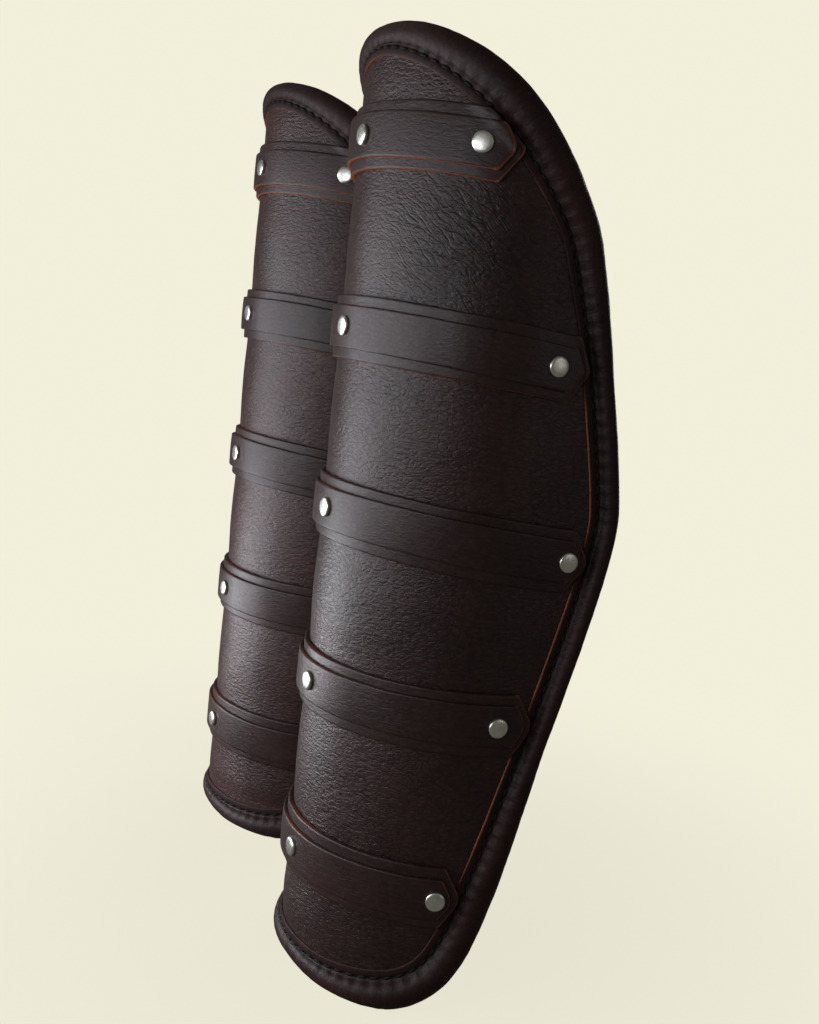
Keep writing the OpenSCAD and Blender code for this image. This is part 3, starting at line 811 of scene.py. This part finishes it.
def bindingPiece(side):
    b, seed = bindingShape, greaves[side]["seed"]
    s, z = stitchLoop.T
    w, h = rimAt(s, z), rollAt(s)
    stitchCount = round(loopLength / stitchShape["pitch"])
    phase = np.cos(2 * math.pi * loopRun / loopLength * stitchCount)   # 1 half way between holes
    lumps = drift(loopRun, 0, 17, seed + 21) * b["lump"] + drift(loopRun, 0, 7, seed + 22) * b["lump"] * 0.5
    raw = -b["flange"] + drift(loopRun, 0, 23, seed + 31) * 0.35
    top, inner = b["flangeTop"], b["inner"]
    dip = 0.10 + 0.10 * phase
    # the dye is worn off the flange's cut edge mostly along the sides
    bareAndPaintedLight = 0.42 + 0.80 * smooth(70, 88, np.abs(s)) * smooth(45, 80, z) * smooth(300, 262, z)
    bareAndPaintedLight = bareAndPaintedLight + 0.32 * smooth(52, 30, np.abs(s)) * smooth(360, 390, z)
    # rows of t, n, bare edge and painted shade of the stitch groove: the flange, the roll, and the flange
    # inside
    section = [
        (raw + 0.10, -0.55, 0.9 * bareAndPaintedLight, 0), (raw, -0.10, bareAndPaintedLight, 0), (raw - 0.04, 0.25, bareAndPaintedLight, 0),
        (raw + 0.03, 0.52, 0.95 * bareAndPaintedLight, 0), (raw + 0.20, top - 0.07, 0.55 * bareAndPaintedLight, 0),
        (raw + 0.55, top, 0.12 * bareAndPaintedLight, 0), (raw * 0.6, top + 0.02, 0, 0), (-1.75, top - 0.06, 0, 0),
        (-1.25, top - 0.20 + dip * 0.6, 0, 0.5), (-0.80, top - 0.48 + dip, 0, 0.95),
        (-0.35, top - 0.70 + dip, 0, 1.0)]
    c, e = (h + inner) / 2, (h - inner) / 2
    first, last = b["rollTurn"]
    for i, degrees in enumerate(np.linspace(first, last, b["arc"])):
        a = math.radians(degrees)
        near = math.exp(-((degrees - first) / 46) ** 2)
        far = math.exp(-((degrees - last) / 46) ** 2)
        pucker = b["pucker"] * ((phase * 0.5 - 0.15) * near + 0.6 * phase * far)
        grow = pucker + lumps * (1 - near - far) * 0.55 + 0.07 * drift(loopRun, i * 2.2, 2.6, seed + 40)
        section.append((0.53 * w + 0.47 * w * math.cos(a) + grow * math.cos(a),
                        c + (e + grow) * math.sin(a), 0, (1.0, 0.75, 0.25)[i] if i < 3 else 0))
    section += [
        (-0.2, inner - 0.02 - dip * 0.5, 0, 0), (-0.8, inner - 0.16 - dip * 0.5, 0, 0),
        (-1.6, inner - 0.32, 0, 0), (raw * 0.7, inner - 0.36, 0, 0), (raw + 0.35, inner - 0.30, 0.3, 0),
        (raw + 0.02, inner - 0.08, 1, 0), (raw + 0.05, inner + 0.5, 1, 0), (raw + 0.4, inner + 0.9, 1, 0),
        (2.2, inner + 1.3, 0, 0), (2.2, -1.0, 0, 0)]
    t, n, edge, grooveShade = (np.stack([np.broadcast_to(value, s.shape) for value in column], 1)
                          for column in zip(*section))
    base = stitchLoop[:, None, :] + t[..., None] * loopNormal[:, None, :]
    points = wall(base[..., 0], np.maximum(base[..., 1], 0), n)
    steps = (np.diff(a, axis=1, prepend=a[:, :1]) for a in (t, n))
    around = np.cumsum(np.hypot(*steps), 1)
    flat = np.stack([around, loopRun[:, None] + 0 * around, 0 * around], -1) * mm + seed * 0.17
    faces = gridFaces(len(s), len(section), closeRows=True, closeColumns=True)
    return makePiece(side + "Binding", side, points, faces, flat, edge, "binding", grooveShade)


def edgeStitches(side):
    b, flip = bindingShape, np.array([greaves[side]["flip"], 1, 1])
    rows = {"Outer": (-0.62, b["flangeTop"] - 0.22, 1), "Inner": (-0.75, b["inner"] - 0.20, -1)}
    made = []
    for label, (t, n, turn) in rows.items():
        base = stitchLoop + t * loopNormal
        points = toFrame(side, wall(base[:, 0], base[:, 1], n))
        outward = outwardAt(base[:, 0]) * turn * flip
        made.append(repeatShape(side + label, points, outward, None, "stitch",
                                stitchShape["pitch"], stitchShape["slant"], "thread"))
    return joinPieces(side + "EdgeStitches", made)


# bands
bandShape = {
    "underN": (0.0, 2.25), "topN": (2.2, 4.2), "round": 0.7, "crown": 0.14, "wave": 0.16, "lift": 0.72,
    "clip": 0.6, "tipRound": 5.0, "tipRoundLow": 8.0, "short": 10.0, "long": 16.2, "inset": 2.4,
    "margin": 3.7, "dimple": 0.30, "dimpleReach": 5.6, "wander": 0.35, "wanderFine": 0.12,
}
# how bare the cut edges are, with painted light and shade on them: the lower ones by band (top, under), then
# the upper ones, painted darker as painted shade and lighter near the shin as painted light, and the tips,
# painted brighter as painted light
bandEdgeBareAndLight = {
    1: (1.20, 1.20), 2: (0.40, 0.85), 3: (0.30, 0.44), 4: (0.22, 0.26), 5: (0.16, 0.18),
    "upper": 0.26, "upperShin": 0.46, "shinReach": 20, "tip": 1.20, "firstTip": 1.40,
}


def rivetPlace(k):
    side = halfWidthAt(bandHeight(k))
    tip = float(halfWidthAt(bandLevel(k, side))) - bandShape["inset"]
    reach = bandShape["short"] if k in (3, 5) else bandShape["long"]
    return tip - reach, float(bandLevel(k, np.array(tip - reach))), reach


def tipShape(k, layer):
    # a tip clipped at both sides with a rounded nose, measured from the end rivet
    b, width = bandShape, bands[layer + "Width"]
    r = b["tipRoundLow"] if k > 3 else b["tipRound"]
    turn = math.pi / 2 - math.atan(1 / b["clip"])
    centre = rivetPlace(k)[2] - (b["margin"] if layer == "top" else 0) - r
    sharp = centre + r / math.cos(turn)
    return {"r": r, "turn": turn, "centre": centre, "sharp": sharp, "width": width,
            "corner": sharp - b["clip"] * width / 2, "tangent": centre + r * math.cos(turn)}


def halfWidth(tip, past):
    # of the band, where it is this far past the end rivet
    wide = np.where(past > tip["corner"], (tip["sharp"] - past) / bandShape["clip"], tip["width"] / 2)
    nose = np.sqrt(np.clip(tip["r"] ** 2 - (past - tip["centre"]) ** 2, 0, None))
    return np.clip(np.where(past > tip["tangent"] + 1e-6, nose, wide), 0, tip["width"] / 2)


def edgeGap(tip, past, v):
    # how far inside the cut edge a point of the band lies
    clip, away, beyond = bandShape["clip"], np.abs(v), past - tip["centre"]
    slanted = (tip["sharp"] - past - clip * away) / math.sqrt(1 + clip ** 2)
    inNose = (beyond > 0) & (away < np.tan(tip["turn"]) * np.maximum(beyond, 0))
    gap = np.where(inNose, tip["r"] - np.hypot(beyond, v), slanted)
    return np.clip(np.minimum(tip["width"] / 2 - away, gap), 0, None)


def bandSlope(k, s):
    return -np.sign(s) * bandDrop(k) * np.sin(np.minimum(np.abs(s) / radius, bendAngle)) / radius


def bandLine(k, x, past):
    # the middle line and its slope; past the end rivet it runs straight on
    rivetS, rivetZ, _ = rivetPlace(k)
    endSlope = float(bandSlope(k, rivetS))
    flatRun = 1 / math.sqrt(1 + endSlope ** 2)
    s = np.sign(x) * (np.minimum(np.abs(x), rivetS) + past * flatRun)
    z = np.where(past > 0, rivetZ + past * flatRun * endSlope, bandLevel(k, s))
    return s, z, np.where(past > 0, np.sign(x) * endSlope, bandSlope(k, s))


def bandSection(halfWide):
    # places across the band, over its top and back under it, close together near the cut edges
    shrink = np.minimum(1, halfWide / 6)
    near = [0, 0.10, 0.28, 0.55, 0.95, 1.7, 3.0]
    top = [halfWide - o * shrink for o in near]
    top += [(halfWide - near[-1] * shrink) * (1 - 2 * q) for q in np.linspace(0, 1, 7)[1:-1]]
    top += [-(halfWide - o * shrink) for o in near[::-1]]
    bottom = [-halfWide, -(halfWide - 0.5 * shrink), -halfWide * 0.5, 0 * halfWide, halfWide * 0.5,
              halfWide - 0.5 * shrink, halfWide]
    return np.concatenate(top, 1), np.concatenate(bottom, 1)


def bandPiece(side, k, layer):
    b, seed = bandShape, greaves[side]["seed"] + 7 * k + (3 if layer == "top" else 0)
    n0, n1 = b[layer + "N"]
    rivetS = rivetPlace(k)[0]
    tip = tipShape(k, layer)
    corner, tangent = tip["corner"], tip["tangent"]
    end = np.concatenate([np.arange(0, corner, 1.6),
                          np.linspace(corner, tangent, max(3, int((tangent - corner) / 0.9))),
                          tip["centre"] + tip["r"] * np.cos(np.linspace(tip["turn"], 0, 9))[1:]])
    middle = np.linspace(-rivetS, rivetS, int(rivetS) | 1)
    x = np.concatenate([-(rivetS + end[::-1]), middle[1:-1], rivetS + end])[:, None]
    past = np.maximum(np.abs(x) - rivetS, 0)          # run beyond the end rivet
    s, z, slope = bandLine(k, x, past)
    halfWide = halfWidth(tip, past)
    topV, bottomV = bandSection(halfWide)

    gap = edgeGap(tip, past, topV)
    bevel = b["round"] * (1 - np.sqrt(np.clip(1 - (1 - np.clip(gap / b["round"], 0, 1)) ** 2, 0, 1)))
    topN = n1 - bevel * 0.85 + b["crown"] * (1 - (topV / (tip["width"] / 2)) ** 2)
    for centre in (-rivetS, 0, rivetS):
        topN -= b["dimple"] * np.exp(-(np.hypot(x - centre, topV) / b["dimpleReach"]) ** 2)
    topN += b["wave"] * drift(x, topV * 1.5, 26, seed)
    bottomN = np.full(bottomV.shape, float(n0))
    bottomN[:, [0, -1]] += 0.25
    sideN = np.array([n0 + 0.6, (n0 + n1) / 2, n1 - 0.95]) + 0 * x
    sideV = np.repeat(halfWide, 3, 1)
    v = np.concatenate([topV, -sideV, bottomV, sideV], 1)
    n = np.concatenate([topN, sideN[:, ::-1], bottomN, sideN], 1)

    inTip = past > corner * 0.8
    # painted shade on the upper cut edges, painted light on them near the shin, and painted light on the
    # wider bright tips
    bareAndPaintedLight = np.where(v < 0, bandEdgeBareAndLight[k][layer == "under"],
                    bandEdgeBareAndLight["upper"] + bandEdgeBareAndLight["upperShin"] * np.exp(-(x / bandEdgeBareAndLight["shinReach"]) ** 2))
    bareAndPaintedLight = np.where(inTip, bandEdgeBareAndLight["firstTip" if k == 1 else "tip"], bareAndPaintedLight)
    edgeTop = np.clip(1 - gap / (0.62 + 0.55 * inTip), 0, 1)
    edge = np.concatenate([edgeTop, np.ones((len(x), v.shape[1] - topV.shape[1]))], 1) * bareAndPaintedLight

    # laid on the wall, kept off the binding's flange and lifted where it meets it
    wander = b["wander"] * drift(x, v * 0.2, 45, seed + 60)
    wander = wander + b["wanderFine"] * drift(x, np.sign(v) * 50, 9, seed + 61)
    grow = np.sqrt(1 + slope ** 2)
    ps = s - slope / grow * v
    pz = z + (v + wander) / grow
    t, outDir = fromEdge(ps, pz)
    over = np.maximum(t + 1.0, 0)
    n = n + b["lift"] * smooth(-6.6, -4.2, t)
    points = wall(ps - over * outDir[..., 0], pz - over * outDir[..., 1], n)
    flat = np.stack([x + 0 * v, v, n], -1) * mm + seed * 0.11
    faces = gridFaces(*v.shape, closeColumns=True)
    return makePiece(side + layer.capitalize() + "Band" + str(k), side, points, faces, flat, edge, "band")


rivetLevel = {"cap": 0.05, "back": -4.7, "backSide": -4.9, "backStrap": -7.0}     # cap over the top band


def rivetSet(side):
    # a cap and a washer at the shin and at both ends of each band
    flip = np.array([greaves[side]["flip"], 1, 1])
    capPlace, backPlace, outward, ahead = [], [], [], []
    for k in range(1, 6):
        rivetS, rivetZ, _ = rivetPlace(k)
        for s, z in ((0.0, bandHeight(k)), (rivetS, rivetZ), (-rivetS, rivetZ)):
            back = "backStrap" if s and k in (2, 4) else "backSide" if abs(s) > bendRun else "back"
            capPlace.append(wall(s, z, bandShape["topN"][1] + rivetLevel["cap"]))
            backPlace.append(wall(s, z, rivetLevel[back]))
            out = outwardAt(np.array(s))
            outward.append(out * flip)
            turn = 0.7 * k + s * 0.05       # each cap is turned its own way
            level = np.array([-out[1], out[0], 0]) * flip
            ahead.append(level * math.cos(turn) + np.array([0, 0, math.sin(turn)]))
    outward = np.array(outward)
    caps = repeatShape(side + "Caps", toFrame(side, capPlace), outward, ahead, "cap", 1, 0.0, "nickel")
    backs = repeatShape(side + "Backs", toFrame(side, backPlace), -outward, ahead, "washer", 1, 0.0, "nickel")
    return joinPieces(side + "Rivets", [caps, backs])


# straps, drawn in plan: they leave the shell along its flat sides and cross behind the calf
strapShape = {
    "width": 18.0, "thick": 2.0, "n": -5.9, "leave": 106.0, "bend": 30.0, "step": 1.2, "layerGap": 0.15,
    "barX": 9.0, "fold": 2.5, "tail": 16.0, "pitch": 11.0, "hole": 1.6, "point": 3.2, "pointSlope": 0.72,
    "prongSlot": (-6.0, 7.5), "prongRadius": 1.7, "usedHole": (-0.6, 6.4),      # from the bar's X
}
leavePoint = wall(strapShape["leave"], 0, strapShape["n"])[:2]
bendAim = np.array([pattern["bendSin"], -pattern["bendCos"]])
bendCentre = leavePoint - strapShape["bend"] * bendAim
mainY = bendCentre[1] + strapShape["bend"]
billetY = mainY + strapShape["thick"] + strapShape["layerGap"]
barY = mainY - strapShape["fold"]


def turnPoints(centre, r, first, last, steps):
    a = np.radians(np.linspace(first, last, steps))
    return np.stack([centre[0] + r * np.sin(a), centre[1] - r * np.cos(a)], -1)


def sidePath(k, r):
    start = rivetPlace(k)[0] - 8
    s = np.linspace(start, strapShape["leave"], 16, endpoint=False)
    straight = wall(s, 0 * s, strapShape["n"])[:, :2]
    centre = leavePoint - r * bendAim
    return np.concatenate([straight, turnPoints(centre, r, math.degrees(bendAngle), 180, 30)])


def bucklePath(k):
    x, fold = strapShape["barX"], strapShape["fold"]
    a = np.radians(np.linspace(0, 180, 22))
    loop = np.array([x, barY]) + fold * np.stack([-np.sin(a), np.cos(a)], -1)
    u = np.linspace(0, 1, 14)[1:]
    rise = 2 * fold - strapShape["thick"] - 0.05
    back = np.stack([x + strapShape["tail"] * u, barY - fold + rise * smooth(0, 0.6, u)], -1)
    return np.concatenate([sidePath(k, strapShape["bend"]), [[x + 8, mainY]], loop, back])


def billetPath(k):
    r = (billetY - leavePoint[1]) / (1 + pattern["bendCos"])
    first = sidePath(k, r) * np.array([-1, 1])
    straight = np.array([[px, billetY] for px in np.linspace(-15, 15, 8)])
    last = turnPoints(bendCentre, strapShape["bend"] + billetY - mainY, 180, 155, 8)
    return np.concatenate([first, straight, last])


def evenPath(points, step):
    gaps = np.linalg.norm(np.diff(points, axis=0), axis=1)
    points = points[np.concatenate([[True], gaps > 1e-6])]
    run = runAlong(points)
    at = np.linspace(0, run[-1], int(run[-1] / step) + 1)
    return resampled(points, run, at), at


def strapSection(halfWide, thick, soft=0.45):
    # rounded rectangle, (across, through) pairs and how near to the cut edge each lies
    turn, marks = np.radians([0, 30, 60, 90]), [1.0, 0.9, 0.4, 0.0]
    points, edge = [], []
    for sx, sy, order in ((1, 1, 1), (-1, 1, -1), (-1, -1, 1), (1, -1, -1)):
        points += [(sx * (1 - soft * (1 - math.cos(a)) / halfWide),
                    sy * (thick / 2 - soft * (1 - math.sin(a)))) for a in turn[::order]]
        edge += marks[::order]
        if order == 1:
            points += [(sx * u, sy * thick / 2) for u in (0.6, 0, -0.6)]
            edge += [0, 0, 0]
    return np.array(points), np.array(edge)


def sweptStrap(name, side, path, level, halfWide, seed):
    # path in plan for a strap that stands on edge, halfWide may vary along it
    tangent = unitRows(np.gradient(path, axis=0))
    normal = np.stack([tangent[:, 1], -tangent[:, 0]], -1)
    section, edgeMarks = strapSection(float(np.max(halfWide)), strapShape["thick"])
    run = runAlong(path)[:, None]
    over = section[:, 0] * np.broadcast_to(halfWide, len(run))[:, None]
    through = section[:, 1] + 0 * over
    slack = 0.06 * drift(run, over * 2, 13, seed)
    flatPath = path[:, None, :] + normal[:, None, :] * (through + slack)[..., None]
    points = np.concatenate([flatPath, (level + over)[..., None]], -1)
    faces = gridFaces(*over.shape, closeColumns=True).tolist() + capFaces(*over.shape)
    edge = np.repeat(edgeMarks[None, :], len(run), 0)
    edge[[0, -1]] = 1
    flat = np.stack([run + 0 * over, over, through], -1) * mm + seed * 0.19
    return makePiece(name, side, points, faces, flat, edge, "strap")


def cutAway(piece, side, cutters):
    # boolean holes; cutters are (points, faces) in local millimetres
    for i, (points, faces) in enumerate(cutters):
        tool = makePiece(piece.name + "Cut" + str(i), side, points, faces)
        modifier = piece.modifiers.new("hole", "BOOLEAN")
        modifier.operation, modifier.object, modifier.solver = "DIFFERENCE", tool, "EXACT"
        applyModifiers(piece)
        bpy.data.objects.remove(tool)


def punch(x0, x1, y, z, r, depth=6.0, sides=20):
    # a round hole, or a slot with round ends where x1 > x0, through the strap along Y
    a = np.linspace(0, 2 * math.pi, sides, endpoint=False)
    ring = np.stack([np.where(np.cos(a) > 0, x1, x0) + r * np.cos(a), 0 * a + y, z + r * np.sin(a)], -1)
    reach = np.array([0, depth / 2, 0])
    faces = gridFaces(2, sides, closeColumns=True).tolist() + capFaces(2, sides)
    return np.concatenate([ring - reach, ring + reach]), faces


keeperShape = {"thick": 1.2, "halfWide": 3.5, "round": 1.3, "play": 0.05, "past": 8.8, "step": 0.8}


def keeperPiece(name, side, level):
    # a loop round both straps, beside the buckle
    look, t, r = keeperShape, keeperShape["thick"], keeperShape["round"]
    y0 = mainY - strapShape["thick"] * 1.5 - 0.1 - t / 2
    y1 = billetY + strapShape["thick"] / 2 + strapShape["layerGap"] + t / 2
    reach = strapShape["width"] / 2 + look["play"] + t / 2
    z0, z1 = level - reach, level + reach
    ring = []
    corners = ((y1 - r, z1 - r), (y0 + r, z1 - r), (y0 + r, z0 + r), (y1 - r, z0 + r))
    for quarter, (cy, cz) in enumerate(corners):
        for a in np.radians(90 * quarter + np.linspace(0, 90, 7)):
            ring.append((cy + r * math.cos(a), cz + r * math.sin(a)))
    ring, run, _ = evenLoop(np.array(ring), look["step"])
    tangent = unitRows(np.roll(ring, -1, 0) - np.roll(ring, 1, 0))
    normal = np.stack([tangent[:, 1], -tangent[:, 0]], -1)
    section, marks = strapSection(look["halfWide"], t, 0.35)
    offset = ring[:, None, :] + normal[:, None, :] * section[:, 1, None]
    middle = strapShape["barX"] + look["past"] + look["halfWide"]
    x = middle + section[:, 0] * look["halfWide"] + 0 * offset[..., 0]
    points = np.concatenate([x[..., None], offset], -1)
    flat = np.stack([run[:, None] + 0 * x, x, 0 * x], -1) * mm
    faces = gridFaces(*x.shape, closeRows=True, closeColumns=True)
    return makePiece(name, side, points, faces, flat, np.repeat(marks[None, :], len(ring), 0), "strap")


def softenedMetal(name, node, width, materialName):
    # the CAD solid with its edges rounded off
    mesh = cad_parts[node].data.copy()
    mesh.name = name
    work = bmesh.new()
    work.from_mesh(mesh)
    bmesh.ops.remove_doubles(work, verts=work.verts, dist=1e-6)
    bmesh.ops.dissolve_limit(work, angle_limit=math.radians(1.5), verts=work.verts, edges=work.edges)
    work.to_mesh(mesh)
    work.free()
    mesh.materials.clear()
    mesh.materials.append(materials[materialName])
    piece = addObject(name, mesh)
    modifier = piece.modifiers.new("softEdges", "BEVEL")
    modifier.width, modifier.segments, modifier.limit_method = width * mm, 3, "ANGLE"
    modifier.angle_limit = math.radians(35)
    applyModifiers(piece)
    smoothFaces(piece.data)
    return piece


def strapPair(side, label, k):
    # the two straps of one buckle, its keeper and its metal
    body, node = side + "_greave", side + "_" + label + "_"
    tag = side + label.capitalize()
    level, wide, x = rivetPlace(k)[1], strapShape["width"] / 2, strapShape["barX"]
    path, _ = evenPath(bucklePath(k), strapShape["step"])
    strap = sweptStrap(tag + "BuckleStrap", side, path, level, wide, 5 + k)
    x0, x1 = (x + reach for reach in strapShape["prongSlot"])
    cutAway(strap, side, [punch(x0, x1, barY, level, strapShape["prongRadius"], 16.0)])
    settle(strap, body, "strap_leather", node + "buckle_strap")
    path, run = evenPath(billetPath(k), strapShape["step"])
    pointed = np.minimum(wide, strapShape["point"] + np.maximum(run[-1] - run, 0) * strapShape["pointSlope"])
    billet = sweptStrap(tag + "Billet", side, path, level, pointed, 25 + k)
    # three free holes, and the one in use, drawn long by the prong
    slots = [(-i * strapShape["pitch"],) * 2 for i in (1, 2, 3)] + [strapShape["usedHole"]]
    cutAway(billet, side, [punch(x + a, x + b, billetY, level, strapShape["hole"]) for a, b in slots])
    settle(billet, body, "strap_leather", node + "billet")
    settle(keeperPiece(tag + "Keeper", side, level), body, "strap_leather", node + "keeper")
    settle(softenedMetal(tag + "Frame", node + "frame", 0.45, "buckle"), node + "buckle", "buckle_steel",
           node + "frame")
    settle(softenedMetal(tag + "Prong", node + "prong", 0.35, "buckle"), node + "tongue", "buckle_steel",
           node + "prong")


# build both greaves
for side in ("left", "right"):
    body = side + "_greave"
    shell = leatherSheet(side + "Shell", side, shellShape, side + "Shell", shellFace(side))
    settle(shell, body, "shell_leather", side + "_shell")
    lining = leatherSheet(side + "Lining", side, liningShape, "lining", lambda s, z: 0 * s)
    settle(lining, body, "lining_leather", side + "_lining")
    print(side, "shell and lining")
    binding = bindingPiece(side)
    settle(binding, body, "binding_leather", side + "_binding")
    settle(edgeStitches(side), body, "binding_leather")
    print(side, "binding")
    for k in range(1, 6):
        for layer in ("under", "top"):
            settle(bandPiece(side, k, layer), body, "band_leather", side + "_" + layer + "_band_" + str(k))
    settle(rivetSet(side), body, "nickel", side + "_rivets")
    print(side, "bands and rivets")
    strapPair(side, "low", 4)
    strapPair(side, "high", 2)
    print(side, "straps and buckles")

# stage and light, in metres
stageLook = {
    "ground": rgb(0.884, 0.863, 0.706), "radius": 12, "sides": 96, "near": 0.06, "far": 0.44, "least": 0.86,
    "mirrored": 0.10,        # share of the background that gloss and metal show
    "bounce": rgb(0.10, 0.096, 0.085), "world": 0.030,
}
cool = (0.91, 0.935, 1.0)
lamps = {
    "key": {"place": (-0.14, -0.60, 0.270), "size": (0.96, 0.31), "watts": 3.55, "tint": cool},
    "foot": {"place": (-0.34, -0.56, 0.065), "aim": 0.07, "size": (0.56, 0.09), "watts": 0.92, "tint": cool},
    "low": {"place": (-0.24, -0.31, 0.045), "aim": 0.06, "size": (0.30, 0.08), "watts": 0.60,
            "tint": (0.93, 0.94, 1.0)},
    "upper": {"place": (0.44, -0.52, 0.36), "aim": 0.31, "size": (0.22, 0.16), "watts": 0.46,
              "tint": (0.92, 0.96, 1.0)},
    "side": {"place": (1.4, 0.54, 0.52), "size": (0.30, 0.60), "watts": 0.45, "tint": (1.0, 1.0, 0.98)},
    "back": {"place": (-0.85, 1.25, 0.42), "size": (1.1, 0.9), "watts": 13.0, "tint": (1.0, 0.99, 0.97)},
    "above": {"place": (-1.0, -0.9, 1.9), "size": (1.2, 1.2), "watts": 1.2, "tint": (1.0, 0.99, 0.98)},
}


def backdropShare(w):
    # how much of the pale background a ray sees: all for the camera, a share for gloss
    rays = {name: w.add("ShaderNodeLightPath", output="Is " + name + " Ray")
            for name in ("Camera", "Transmission", "Glossy")}
    return rays["Camera"].bigger(rays["Transmission"]).bigger(rays["Glossy"] * stageLook["mirrored"])


def groundMaterial():
    material, w = newMaterial("groundPaint")
    away = w.add("ShaderNodeVectorMath", {"operation": "LENGTH"}, [w.place()], "Value")
    far = stageLook["least"] + w.ramp(away, stageLook["near"], stageLook["far"]) * (1.0 - stageLook["least"])
    lit = w.shader("BsdfDiffuse", {"Color": stageLook["ground"], "Roughness": 0.0})
    glow = w.shader("Emission", {"Color": stageLook["ground"], "Strength": 1.0})
    dim = w.shader("BsdfDiffuse", {"Color": stageLook["bounce"], "Roughness": 0.0})
    seen = w.shader("MixShader", [far, lit, glow])
    w.shader("OutputMaterial", {"Surface": w.shader("MixShader", [backdropShare(w), dim, seen])})
    return material


def buildWorld():
    world = bpy.data.worlds.new("studio")
    world.use_nodes = True
    w = Wiring(world.node_tree)
    room = w.shader("Background", {"Color": rgb(1, 1, 1), "Strength": stageLook["world"]})
    back = w.shader("Background", {"Color": stageLook["ground"], "Strength": 1.0})
    w.shader("OutputWorld", {"Surface": w.shader("MixShader", [backdropShare(w), room, back])})
    bpy.context.scene.world = world


def buildStage():
    mesh = bpy.data.meshes.new("ground")
    turn = np.linspace(0, 2 * math.pi, stageLook["sides"], endpoint=False)
    ring = stageLook["radius"] * np.stack([np.cos(turn), np.sin(turn), 0 * turn], -1)
    mesh.from_pydata(ring.tolist(), [], [tuple(range(len(ring)))])
    mesh.materials.append(groundMaterial())
    addObject("ground", mesh)
    for name, lamp in lamps.items():
        data = bpy.data.lights.new(name + "Light", "AREA")
        data.shape, data.size, data.size_y = "RECTANGLE", lamp["size"][0], lamp["size"][1]
        data.energy, data.color = lamp["watts"], lamp["tint"]
        light = addObject(name + "Light", data)
        light.location = lamp["place"]
        light.rotation_mode = "QUATERNION"
        aim = Vector((0, 0, lamp.get("aim", 0.2)))
        light.rotation_quaternion = (light.location - aim).to_track_quat("Z", "Y")


buildWorld()
buildStage()
bpy.context.scene.view_settings.view_transform = "Standard"
for shape in shapes.values():
    bpy.data.objects.remove(shape)
print("stage ready")
